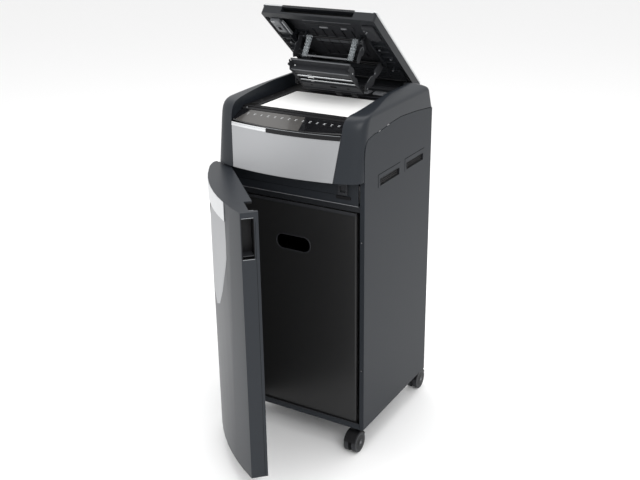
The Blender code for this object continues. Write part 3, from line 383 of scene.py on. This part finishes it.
smoke_edge = [(x, strip_front(x)) for x in (-0.168, -0.12, -0.06, 0.0, 0.052)]
strip_plate("strip_smoked", smoke_edge + [(0.030, -0.186), (-0.155, -0.186)], SMOKE)
black_edge = [(x, strip_front(x)) for x in (0.054, 0.10, 0.14, 0.176)]
strip_plate("strip_display", black_edge + [(0.181, -0.186), (0.032, -0.186)], GLOSS)
strip_plate("strip_rear_lip", [(-0.1895, -0.1830), (0.1895, -0.1830), (0.1920, -0.1715),
    (-0.1920, -0.1715)], BLACK, 0.0012, 0.0010)

ICON_LINE = 0.0011


def icon_bar(name, x0, x1, y0, y1):
    """A flat bar of an icon, printed on the control strip."""
    strip_plate(name, [(x0, y1), (x1, y1), (x1, y0), (x0, y0)], WHITE_INK, 0.0009)


# each icon is a small generic sign: a bar, a stem and a shorter foot
for number in range(14):
    x, y = -0.150 + number * 0.0232, -0.2080
    tall = 0.0036 if number % 3 else 0.0046
    wide = 0.0030 + 0.0010 * (number % 2)
    icon_bar(f"icon_{number}_top", x - wide, x + wide, y + tall - ICON_LINE, y + tall)
    icon_bar(f"icon_{number}_stem", x - 0.0006, x + 0.0006, y - tall, y + tall)
    icon_bar(f"icon_{number}_foot", x - wide * 0.8, x + wide * 0.8, y - tall, y - tall + ICON_LINE)
for side in (-1, 1):
    on_cabinet(rod(f"strip_stud_{side}", "Z", (side * 0.174, -0.1775), 0.0022, 1.034, 1.0385, GREY, 12,
        0.0004))

# ---------------------------------------------------------------- side panels: carry lines and sunk vents
for side in (-1, 1):
    face = side * HALF_W
    for number, (front, rear, drop) in enumerate(((-0.1408, 0.0005, 0.040), (0.0320, 0.1680, 0.040)), 1):
        # each carry line is a thin near-black plate on the flat panel: painted shade inside a recessed grip
        low_x, high_x = sorted((face - side * 0.0004, face + side * 0.0003))
        on_cabinet(block(f"carry_line_{side}_{number}_top", (low_x, front, 0.8805), (high_x, rear, 0.8822),
            SHADE_AND_SEAM_BLACK, 0.0))
        on_cabinet(block(f"carry_line_{side}_{number}_drop", (low_x, front, 0.8822 - drop),
            (high_x, front + 0.0017, 0.8822), SHADE_AND_SEAM_BLACK, 0.0))
    for number, (front, rear) in enumerate(((-0.127, -0.006), (0.045, 0.160)), 1):
        # the rims are the cabinet paint made darker: painted shade on the walls of each sunk vent
        low_x, high_x = sorted((face - side * 0.0005, face + side * 0.0006))
        rim = 0.0012
        sides = (
            ("top", (front - rim, 0.866), (rear + rim, 0.866 + rim)),
            ("foot", (front - rim, 0.846 - rim), (rear + rim, 0.846)),
            ("front", (front - rim, 0.846), (front, 0.866)),
            ("rear", (rear, 0.846), (rear + rim, 0.866)),
        )
        for part, lo, hi in sides:
            on_cabinet(block(f"vent_rim_{side}_{number}_{part}", (low_x, lo[0], lo[1]),
                (high_x, hi[0], hi[1]), PAINT_DARK, 0.0002))
for number, level in enumerate((0.7025, 0.2900), 1):
    # a near-black disc round each screw head: painted shade in the screw's hollow
    on_cabinet(rod(f"flange_screw_{number}", "Y", (0.232, level), 0.0030, -HALF_D - 0.0012, -HALF_D + 0.001,
        SHADE_AND_SEAM_BLACK, 14, 0.0004))
    on_cabinet(rod(f"flange_screw_head_{number}", "Y", (0.232, level), 0.0018, -HALF_D - 0.0016, -HALF_D,
        GREY, 12, 0.0003))

# ---------------------------------------------------------------- front opening: bin rim, catch and gaps
def slot_ring(name, axis_level, centre, half, radius, width, depth, look):
    """A raised rim round a rounded slot in the bin's front."""
    def ring_outline(grow):
        across, up = half[0] + grow, half[1] + grow
        corners = ((-across, -up), (across, -up), (across, up), (-across, up))
        return rounded([(centre[0] + a, centre[1] + b, radius + grow) for a, b in corners], 7)

    outer, inner = ring_outline(width), ring_outline(0.0)
    count = len(outer)
    vertices = []
    for outline, level in ((outer, axis_level), (outer, axis_level - depth), (inner, axis_level - depth),
            (inner, axis_level + 0.002)):
        vertices += [(a, level, b) for a, b in outline]
    faces = []
    for ring in range(4):
        following = (ring + 1) % 4
        for i in range(count):
            j = (i + 1) % count
            faces.append((ring * count + i, ring * count + j, following * count + j, following * count + i))
    obj = mesh_object(name, vertices, faces, look)
    soften(obj, 0.0006, merge=False)
    smooth(obj)
    return on_cabinet(obj)


slot_ring("bin_slot_rim", -0.2175, (0.0, 0.6565), (0.057, 0.0225), 0.0215, 0.0035, 0.0016, COAL)
on_cabinet(block("bin_top_lip", (-0.2110, -0.2200, 0.7765), (0.2110, -0.2172, 0.7855), COAL, 0.0008))
on_cabinet(block("catch_body", (0.150, -HALF_D - 0.0030, 0.8240), (0.196, -HALF_D + 0.0010, 0.8330), BLACK,
    0.0008))
on_cabinet(block("fascia_seam", (-0.2100, -HALF_D + 0.0004, 0.8330), (0.145, -HALF_D + 0.0011, 0.8336),
    SHADE_AND_SEAM_BLACK, 0.0))
on_cabinet(block("rail_line", (-0.2200, -HALF_D - 0.0006, 0.8075), (0.2200, -HALF_D + 0.0004, 0.8095), GREY,
    0.0002))
on_cabinet(block("sill_edge", (-0.2240, -HALF_D - 0.0007, 0.1005), (0.2240, -HALF_D + 0.0004, 0.1025),
    PAINT_DARK, 0.0003))

# ---------------------------------------------------------------- under the lid
def lid_plate(name, outline, x0, x1, look, body="lid", bevel=0.0006):
    """A plate across the lid from an outline in (distance from the rear edge, depth under the top)."""
    return on_lid(prism(name, "X", [under_lid(s, d) for s, d in outline], x0, x1, look, bevel), body)


def lid_piece(name, x0, x1, s0, s1, d0, d1, look, body="lid", bevel=0.0006):
    return on_lid(lid_block(name, x0, x1, s0, s1, d0, d1, look, bevel), body)


def lid_wire(name, points, radius, look, body="lid"):
    """A bent wire through points given as (x, s, d)."""
    return on_lid(tube(name, [(x, *under_lid(s, d)) for x, s, d in points], radius, look), body)


# ribs, bosses and cable run of the moulding round the frame's mouth
for number in range(6):
    s = 0.064 + number * 0.0115
    lid_piece(f"lid_rear_rib_{number}", -0.172, 0.172, s, s + 0.0020, 0.0258, 0.0310, LID_DARK)
for number in range(9):
    x = -0.160 + number * 0.040
    lid_piece(f"lid_cross_rib_{number}", x - 0.0010, x + 0.0010, 0.0560, 0.1230, 0.0258, 0.0290, LID_DARK)
for side in (-1, 1):
    low_x, high_x = side_span(side, 0.1760, 0.1785)
    lid_piece(f"lid_side_wall_{side}", low_x, high_x, 0.0500, 0.3700, 0.0258, 0.0292, LID_DARK)
    low_x, high_x = side_span(side, 0.1325, 0.1350)
    lid_piece(f"lid_mouth_wall_{side}", low_x, high_x, 0.1640, 0.2900, 0.0258, 0.0380, LID_DARK)
    for number in range(4):
        s = 0.176 + number * 0.030
        low_x, high_x = side_span(side, 0.1340, 0.1755)
        lid_piece(f"lid_side_rib_{side}_{number}", low_x, high_x, s, s + 0.0020, 0.0258, 0.0340, LID_DARK)
    for number, (x, s) in enumerate(((0.150, 0.132), (0.150, 0.250), (0.168, 0.200)), 1):
        boss = rod(f"lid_boss_{side}_{number}", "Z", (side * x, LID_REAR - s), 0.0042, LID_TOP - 0.0370,
            LID_TOP - 0.0262, LID_DARK, 16, 0.0004)
        on_lid(boss)
        head = rod(f"lid_screw_{side}_{number}", "Z", (side * x, LID_REAR - s), 0.0026, LID_TOP - 0.0378,
            LID_TOP - 0.0368, GREY, 14, 0.0003)
        on_lid(head)

# plates inside the mouth, above the folded pressure frame
lid_piece("mouth_plate", -0.1280, 0.1280, 0.1280, 0.3700, 0.0062, 0.0068, COAL, bevel=0.0)
for number, (s0, s1) in enumerate(((0.134, 0.150), (0.172, 0.212), (0.222, 0.252), (0.296, 0.318),
        (0.334, 0.364)), 1):
    lid_piece(f"mouth_tray_{number}", -0.0800, 0.0800, s0, s1, 0.0064, 0.0084,
        LATCH_GREY if number in (3, 5) else COAL, bevel=0.0008)
for number in range(5):
    x = -0.066 + number * 0.033
    lid_piece(f"mouth_rib_{number}", x - 0.0010, x + 0.0010, 0.1500, 0.2920, 0.0064, 0.0086, BLACK,
        bevel=0.0)
on_lid(rod("mouth_roller", "X", under_lid(0.3070, 0.0095), 0.0030, -0.0340, -0.0060, GREY, 16, 0.0005))
on_lid(rod("mouth_roller_2", "X", under_lid(0.3070, 0.0095), 0.0030, 0.0380, 0.0560, GREY, 16, 0.0005))

# left latch: plate with a square hole, a slide beside it and two bright rivets
lid_piece("left_latch_plate", -0.1650, -0.1370, 0.3060, 0.3670, 0.0348, 0.0362, LATCH_GREY, bevel=0.0005)
# the square hole is a near-black plate on the latch: painted shade in the hole
lid_piece("left_latch_hole", -0.1560, -0.1460, 0.3180, 0.3330, 0.0360, 0.0364, SHADE_AND_SEAM_BLACK, bevel=0.0)
lid_piece("left_latch_lip", -0.1580, -0.1440, 0.3380, 0.3400, 0.0360, 0.0385, LATCH_GREY, bevel=0.0004)
lid_piece("left_latch_slide", -0.1330, -0.1270, 0.2900, 0.3580, 0.0255, 0.0330, SATIN, bevel=0.0008)
for number, x in enumerate((-0.1610, -0.1545)):
    on_lid(rod(f"left_latch_rivet_{number}", "Z", (x, LID_REAR - 0.3625), 0.0021, LID_TOP - 0.0376,
        LID_TOP - 0.0358, BRIGHT, 14, 0.0004))
lid_piece("right_latch_plate", 0.1380, 0.1700, 0.3020, 0.3660, 0.0348, 0.0370, COAL, bevel=0.0012)
lid_piece("right_latch_hook", 0.1400, 0.1480, 0.3480, 0.3640, 0.0365, 0.0395, COAL, bevel=0.0008)
for number, (x, s) in enumerate(((0.1430, 0.3560), (0.1490, 0.3500), (0.1440, 0.3440))):
    on_lid(rod(f"right_latch_rivet_{number}", "Z", (x, LID_REAR - s), 0.0015, LID_TOP - 0.0402,
        LID_TOP - 0.0360,
        SATIN, 12, 0.0003))

# lobed cheeks of the folding mechanism: one on the clear guide, one on each arm
GUIDE_PIVOT, GUIDE_FOLD = (0.274, 0.024), math.radians(95.6)
ARM_PIVOT, ARM_FOLD = (0.150, 0.026), math.radians(67.25)
FOLDED_SHALLOWEST, FOLDED_DEEPEST = 0.0095, 0.0415


def swung(point, pivot, angle):
    """A point (s, d) swung round a pivot under the lid."""
    s, d = point[0] - pivot[0], point[1] - pivot[1]
    return (
        pivot[0] + s * math.cos(angle) + d * math.sin(angle),
        pivot[1] - s * math.sin(angle) + d * math.cos(angle),
    )


def trimmed_to_fold(outline, pivot, fold):
    """Trims an outline so that, folded into the shut lid, it stays between the two depths that are free."""
    trimmed = []
    for point in outline:
        s, d = swung(point, pivot, fold)
        d = min(max(d, FOLDED_SHALLOWEST), FOLDED_DEEPEST)
        s, d = swung((s, d), pivot, -fold)
        trimmed.append((round(s, 4), round(d, 4)))
    return trimmed


GUIDE_LOBE = trimmed_to_fold([
    (0.2745, 0.0155), (0.2790, 0.0150), (0.2850, 0.0300), (0.2790, 0.0420), (0.2900, 0.0560),
    (0.2880, 0.0900),
    (0.2740, 0.0980), (0.2620, 0.0900), (0.2660, 0.0720), (0.2570, 0.0600), (0.2580, 0.0380),
    (0.2640, 0.0260),
], GUIDE_PIVOT, GUIDE_FOLD)
ARM_LOBE = trimmed_to_fold([
    (0.1480, 0.0160), (0.1600, 0.0140), (0.1740, 0.0330), (0.1930, 0.0420), (0.2050, 0.0620),
    (0.1800, 0.0760),
    (0.1840, 0.0850), (0.2040, 0.0900), (0.2040, 0.1210), (0.2070, 0.1310), (0.1960, 0.1440),
    (0.1840, 0.1400),
    (0.1850, 0.1280), (0.1720, 0.1180), (0.1600, 0.1020), (0.1640, 0.0850), (0.1540, 0.0700),
    (0.1440, 0.0520),
    (0.1420, 0.0340),
], ARM_PIVOT, ARM_FOLD)
for side in (-1, 1):
    low_x, high_x = side_span(side, 0.1068, 0.1088)
    lid_plate(f"guide_cheek_{side}", GUIDE_LOBE, low_x, high_x, COAL, "guide_bail", 0.0005)
    low_x, high_x = side_span(side, 0.0975, 0.1080)
    on_lid(rod(f"guide_pin_{side}", "X", under_lid(*GUIDE_PIVOT), 0.0024, low_x, high_x, COAL, 14),
        "guide_bail")
    low_x, high_x = side_span(side, 0.1178, 0.1204)
    lid_plate(f"arm_cheek_{side}", ARM_LOBE, low_x, high_x, COAL, "press_arms", 0.0005)
    guide_bend = ((0.2655, 0.0500), (0.2760, 0.0450), (0.2830, 0.0520), (0.2840, 0.0620))
    lid_wire(f"guide_spring_{side}", [(side * 0.1094, s, d) for s, d in guide_bend], 0.0007, SATIN,
        "guide_bail")
    arm_bend = ((0.1880, 0.0900), (0.1955, 0.0960), (0.2000, 0.1070), (0.2050, 0.1195))
    lid_wire(f"arm_spring_{side}", [(side * 0.1211, s, d) for s, d in arm_bend], 0.0007, SATIN, "press_arms")
    for number, (s, d) in enumerate(((0.190, 0.134), (0.178, 0.075)), 1):
        low_x, high_x = side_span(side, 0.1200, 0.1213)
        on_lid(rod(f"arm_pin_{side}_{number}", "X", under_lid(s, d), 0.0032, low_x, high_x, GREY, 14,
            0.0003), "press_arms")

# collars and teeth of the clear guide
for side in (-1, 1):
    teeth = ((0.2735, 0.0300), (0.2722, 0.0400), (0.2708, 0.0500), (0.2695, 0.0600), (0.2682, 0.0700))
    for number, (s, d) in enumerate(teeth, 1):
        low_x, high_x = side_span(side, 0.0690, 0.0850)
        on_lid(rod(f"guide_tooth_{side}_{number}", "X", under_lid(s, d), 0.0046, low_x, high_x, CLEAR, 12,
            0.0006), "guide_bail")
    low_x, high_x = side_span(side, 0.0860, 0.0875)
    on_lid(rod(f"guide_collar_{side}", "X", under_lid(*GUIDE_PIVOT), 0.0046, low_x, high_x, SATIN, 16,
        0.0004), "guide_bail")
on_lid(rod("guide_sleeve", "X", under_lid(*GUIDE_PIVOT), 0.0036, -0.0660, 0.0660, BLACK, 18, 0.0004),
    "guide_bail")
on_lid(rod("guide_lower_sleeve", "X", under_lid(0.2660, 0.0840), 0.0027, -0.0660, 0.0660, GREY, 16, 0.0003),
    "guide_bail")

# pressure frame: slots, rivets, stiffening ribs, a forked ear and the tabs that press the sheet
# the slots are near-black plates on the frame: painted shade in them
for number, x in enumerate((-0.078, -0.030, 0.012, 0.060), 1):
    lid_piece(f"frame_slot_{number}", x, x + 0.016, 0.2850, 0.2882, 0.1172, 0.1180, SHADE_AND_SEAM_BLACK, "press_frame",
        0.0)
lid_piece("frame_top_rib", -0.0990, 0.0990, 0.2935, 0.2968, 0.1136, 0.1175, LATCH_GREY, "press_frame",
    0.0008)
lid_piece("frame_front_rib", -0.0985, 0.0985, 0.2735, 0.2790, 0.1370, 0.1400, LATCH_GREY, "press_frame",
    0.0006)
# a near-black strip where the bar lies: painted shade beneath it
lid_piece("frame_bar_bed", -0.0935, 0.0935, 0.2255, 0.2310, 0.1395, 0.1408, SHADE_AND_SEAM_BLACK, "press_frame", 0.0)
lid_piece("frame_rear_rib", -0.0990, 0.0990, 0.1700, 0.1725, 0.1405, 0.1440, COAL, "press_frame", 0.0005)
lid_piece("frame_mid_rib", -0.0990, 0.0990, 0.2030, 0.2055, 0.1405, 0.1432, COAL, "press_frame", 0.0005)
# the notch and the two holes are near-black plates: painted shade in them
lid_piece("frame_centre_notch", 0.0000, 0.0200, 0.1880, 0.1960, 0.1408, 0.1413, SHADE_AND_SEAM_BLACK, "press_frame", 0.0)
for number, x in enumerate((-0.070, 0.055), 1):
    lid_piece(f"frame_hole_{number}", x, x + 0.008, 0.1880, 0.1930, 0.1408, 0.1413, SHADE_AND_SEAM_BLACK, "press_frame",
        0.0)
PRESS_TAB = [(0.1700, 0.1385), (0.1760, 0.1385), (0.1640, 0.1462), (0.1520, 0.1462), (0.1500, 0.1440)]
for number, x in enumerate((0.0060, 0.0600), 1):
    lid_plate(f"press_tab_{number}", PRESS_TAB, x, x + 0.0200, BLACK, "press_frame", 0.0006)
EAR = [
    (0.2600, 0.1400), (0.2600, 0.1230), (0.2700, 0.1150), (0.2840, 0.1148), (0.2900, 0.1195),
    (0.2965, 0.1170),
    (0.2990, 0.1215), (0.2930, 0.1265), (0.2985, 0.1310), (0.2960, 0.1355), (0.2850, 0.1340),
    (0.2780, 0.1420),
]
CHEEK = [
    (0.1680, 0.1425), (0.1720, 0.1300), (0.1820, 0.1250), (0.1920, 0.1330), (0.2080, 0.1380),
    (0.2200, 0.1340), (0.2350, 0.1260), (0.2520, 0.1300), (0.2600, 0.1240), (0.2600, 0.1420),
]
for side in (-1, 1):
    low_x, high_x = side_span(side, 0.0998, 0.1024)
    lid_plate(f"frame_ear_{side}", EAR, low_x, high_x, COAL, "press_frame", 0.0006)
    lid_plate(f"frame_cheek_{side}", CHEEK, low_x, high_x, COAL, "press_frame", 0.0006)
    low_x, high_x = side_span(side, 0.1020, 0.1036)
    on_lid(rod(f"frame_rivet_{side}", "X", under_lid(0.2700, 0.1300), 0.0022, low_x, high_x, BRIGHT, 14,
        0.0003), "press_frame")
on_lid(rod("frame_white_dot", "Y", (-0.0890, LID_TOP - 0.1260), 0.0022, LID_REAR - 0.2790, LID_REAR - 0.2760,
    WHITE_INK, 14, 0.0003), "press_frame")

# ---------------------------------------------------------------- lid: border, finger recess and hinge cowl
for side in (-1, 1):
    low_x, high_x = side_span(side, 0.1856, 0.1862)
    lid_piece(f"lid_border_{side}", low_x, high_x, 0.0060, 0.3960, 0.0004, 0.0058, BRIGHT, bevel=0.0002)
for side in (-1, 1):
    low_x, high_x = side_span(side, 0.1200, 0.1780)
    lid_piece(f"lid_front_border_{side}", low_x, high_x, 0.3995, 0.4006, 0.0004, 0.0052, BRIGHT,
        bevel=0.0002)
lid_piece("lid_recess_lip", -0.1190, 0.1190, 0.3990, 0.4005, 0.0058, 0.0074, GLOSS, bevel=0.0003)
# the floor of the finger recess is a near-black plate: painted shade in the recess
lid_piece("lid_recess_floor", -0.1180, 0.1180, 0.3800, 0.3806, 0.0080, 0.0225, SHADE_AND_SEAM_BLACK, bevel=0.0)

on_cabinet(rod("hinge_cowl", "X", (0.205, 1.031), 0.0195, -0.1475, 0.1475, COAL, 28, 0.0010))
for side in (-1, 1):
    low_x, high_x = side_span(side, 0.1800, 0.1925)
    on_cabinet(rod(f"hinge_cap_{side}", "X", (0.205, 1.031), 0.0170, low_x, high_x, COAL, 28, 0.0010))

# ---------------------------------------------------------------- tray: roller covers, guides and scale marks
for number, (x0, x1) in enumerate(((-0.120, -0.080), (0.040, 0.070), (0.086, 0.120)), 1):
    outline = [(0.1180, 1.0398), (0.1180, 1.0430), (0.1240, 1.0468), (0.1400, 1.0476), (0.1500, 1.0440),
        (0.1520, 1.0398)]
    on_cabinet(prism(f"roller_cover_{number}", "X", outline, x0, x1, GREY, 0.0012))
on_cabinet(block("rear_deck_rib", (-0.150, 0.0860, 1.0398), (0.150, 0.0885, 1.0420), COAL, 0.0004))
on_cabinet(block("rear_deck_step", (-0.150, 0.1600, 1.0398), (0.150, 0.1850, 1.0425), COAL, 0.0008))
on_cabinet(block("tray_front_wall", (-0.1520, -0.1620, 1.0396), (0.1520, -0.1535, 1.0412), BLACK, 0.0005))
for side in (-1, 1):
    low_x, high_x = side_span(side, 0.1515, 0.1560)
    on_cabinet(block(f"tray_side_guide_{side}", (low_x, -0.1450, 1.0396), (high_x, 0.0560, 1.0416), COAL,
        0.0006))
    # each deck pocket is a near-black plate on the deck: painted shade in the pocket
    low_x, high_x = side_span(side, 0.1600, 0.1860)
    on_cabinet(block(f"deck_pocket_{side}", (low_x, -0.1600, 1.0398), (high_x, -0.1380, 1.0406), SHADE_AND_SEAM_BLACK, 0.0))
    for number in range(3):
        y = -0.100 + number * 0.060
        on_cabinet(rod(f"deck_boss_{side}_{number}", "Z", (side * 0.1740, y), 0.0036, 1.0396, 1.0420, COAL,
            16, 0.0006))
for number in range(6):
    level = 1.0060 + number * 0.0054
    on_cabinet(block(f"sheet_edge_{number}", (-0.1486, -0.1502, level), (0.1486, -0.1499, level + 0.0004),
        GREY, 0.0))

# ---------------------------------------------------------------- door: seams, latch and inner ribs
def door_block(name, lo, hi, look, bevel=0.0006):
    return on_door(block(name, lo, hi, look, bevel))


door_block("grip_lip_top", (0.4472, -0.0352, 0.8618), (0.4482, -0.0028, 0.8634), SATIN, 0.0003)
door_block("grip_lip_foot", (0.4472, -0.0352, 0.7468), (0.4482, -0.0028, 0.7486), SATIN, 0.0003)
door_block("grip_ledge", (0.4140, -0.0335, 0.7560), (0.4460, -0.0045, 0.7585), COAL, 0.0005)
door_block("latch_bed", (0.3900, -0.0068, 0.8500), (0.4050, -0.0040, 0.8640), LATCH_GREY, 0.0008)
door_block("edge_seam", (0.4469, 0.0012, 0.0760), (0.4473, 0.0019, 0.8500), SHADE_AND_SEAM_BLACK, 0.0)
for number in range(5):
    level = 0.160 + number * 0.140
    door_block(f"door_rib_{number}", (0.0320, -0.0054, level), (0.3980, -0.0014, level + 0.0040), BLACK,
        0.0006)
for number, x in enumerate((0.120, 0.210, 0.300)):
    door_block(f"door_upright_{number}", (x, -0.0054, 0.0820), (x + 0.0035, -0.0020, 0.8600), BLACK, 0.0006)
for number, (x, level) in enumerate(((0.036, 0.095), (0.430, 0.095), (0.036, 0.480), (0.430, 0.480),
        (0.036, 0.855)), 1):
    on_door(rod(f"door_screw_{number}", "Y", (x, level), 0.0034, -0.0054, -0.0030, GREY, 16, 0.0004))
for number, level in enumerate((0.8785, 0.0856)):
    on_cabinet(rod(f"hinge_bush_{number}", "Z", (-0.222, -0.2335), 0.0058, level, level + 0.0022, STEEL, 18,
        0.0003))

# ---------------------------------------------------------------- casters: hubs, treads and hoods
CASTER_SIDE, CASTER_FRONT, CASTER_REAR, CASTER_TRAIL = 0.204, -0.186, 0.200, 0.028
AXLE_HEIGHT, WHEEL_HALF = 0.0325, 0.0195
for number, (side_x, side_y) in enumerate(((-1, -1), (1, -1), (-1, 1), (1, 1)), 1):
    stem_y = CASTER_REAR if side_y > 0 else CASTER_FRONT
    centre_x, centre_y = side_x * CASTER_SIDE, stem_y + side_y * CASTER_TRAIL
    for side in (-1, 1):
        for part, radius, reach, look in (("dish", 0.0240, 0.0209, BLACK), ("hub", 0.0120, 0.0222, COAL),
                ("pin", 0.0042, 0.0230, GREY)):
            low_x, high_x = sorted((centre_x + side * WHEEL_HALF, centre_x + side * reach))
            cap = rod(f"caster_{number}_{part}_{side}", "X", (centre_y, AXLE_HEIGHT), radius, low_x, high_x,
                look, 28, 0.0006)
            on_cabinet(cap, f"caster_{number}_roll")
    hood = disc_points((centre_y, AXLE_HEIGHT), 0.0372, 14, math.radians(20), math.radians(140))
    hood += disc_points((centre_y, AXLE_HEIGHT), 0.0350, 14, math.radians(160), math.radians(-140))
    on_cabinet(prism(f"caster_{number}_hood", "X", hood, centre_x - WHEEL_HALF, centre_x + WHEEL_HALF, BLACK,
        0.0006), f"caster_{number}")
    on_cabinet(rod(f"caster_{number}_plate", "Z", (centre_x, stem_y), 0.0170, 0.0770, 0.0812, STEEL, 28,
        0.0005), f"caster_{number}")

# ---------------------------------------------------------------- rear and underside
for number, (x, level) in enumerate(((-0.220, 0.110), (0.220, 0.110), (-0.220, 0.520), (0.220, 0.520),
        (-0.220, 0.960), (0.220, 0.960)), 1):
    on_cabinet(rod(f"rear_screw_{number}", "Y", (x, level), 0.0040, HALF_D - 0.0005, HALF_D + 0.0014, GREY,
        18, 0.0005))
on_cabinet(block("rating_plate", (-0.190, HALF_D - 0.0002, 0.130), (-0.110, HALF_D + 0.0005, 0.180), SATIN,
    0.0002))
for number in range(4):
    level = 0.138 + number * 0.009
    on_cabinet(block(f"rating_line_{number}", (-0.184, HALF_D + 0.0004, level),
        (-0.124 - 0.006 * (number % 2), HALF_D + 0.0007, level + 0.0020), BLACK, 0.0))
for number, (x, z) in enumerate(((0.1602, 0.1330), (0.1718, 0.1330), (0.1660, 0.1362)), 1):
    on_cabinet(rod(f"inlet_pin_{number}", "Y", (x, z), 0.0011, HALF_D + 0.0010, HALF_D + 0.0050, STEEL, 12))
for side in (-1, 1):
    low_x, high_x = side_span(side, 0.2362, 0.2372)
    on_cabinet(block(f"rear_fold_{side}", (low_x, HALF_D - 0.0002, 0.0900), (high_x, HALF_D + 0.0004, 0.9900),
        SHADE_AND_SEAM_BLACK, 0.0))
for number in range(3):
    y = -0.120 + number * 0.120
    on_cabinet(block(f"base_rib_{number}", (-0.170, y, 0.0800), (0.170, y + 0.0040, 0.0822), PAINT_DARK,
        0.0005))

# ---------------------------------------------------------------- camera and light
camera_data = bpy.data.cameras.new("camera")
camera_data.lens = 54.15
camera_data.sensor_width = 36.0
camera = bpy.data.objects.new("camera", camera_data)
bpy.context.scene.collection.objects.link(camera)
bpy.context.scene.camera = camera
yaw, pitch, roll = 0.5335, 0.3832, 0.0131
forward = Vector((-math.sin(yaw) * math.cos(pitch), math.cos(yaw) * math.cos(pitch), -math.sin(pitch)))
right = Vector((math.cos(yaw), math.sin(yaw), 0.0))
down = forward.cross(right)
right_rolled = math.cos(roll) * right + math.sin(roll) * down
down_rolled = -math.sin(roll) * right + math.cos(roll) * down
turned = Matrix((right_rolled, -down_rolled, -forward)).transposed().to_4x4()
camera.matrix_world = Matrix.Translation((1.4102 + CX, -2.4498 + CY, 1.7281)) @ turned

floor = mesh_object("studio_ground", [(-30, -30, 0), (30, -30, 0), (30, 30, 0), (-30, 30, 0)],
    [(0, 1, 2, 3)], FLOOR)


def lamp(name, location, target, size, power):
    data = bpy.data.lights.new(name, "AREA")
    data.shape = "RECTANGLE"
    data.size, data.size_y = size
    data.energy = power
    obj = bpy.data.objects.new(name, data)
    bpy.context.scene.collection.objects.link(obj)
    obj.location = location
    obj.rotation_euler = (Vector(target) - Vector(location)).to_track_quat("-Z", "Y").to_euler()
    return obj


lamp("key_light", (3.0, -2.6, 3.4), (0, 0, 0.7), (2.2, 2.2), 80)
lamp("front_light", (-2.6, -3.0, 2.2), (0, 0, 0.7), (1.8, 2.4), 45)
lamp("top_light", (0.0, 0.6, 4.0), (0, 0, 0.8), (3.0, 3.0), 70)
world = bpy.data.worlds.new("studio")
bpy.context.scene.world = world
world.use_nodes = True
world.node_tree.nodes["Background"].inputs["Color"].default_value = (1.0, 1.0, 1.0, 1.0)
world.node_tree.nodes["Background"].inputs["Strength"].default_value = 0.95
bpy.context.scene.view_settings.view_transform = "Standard"
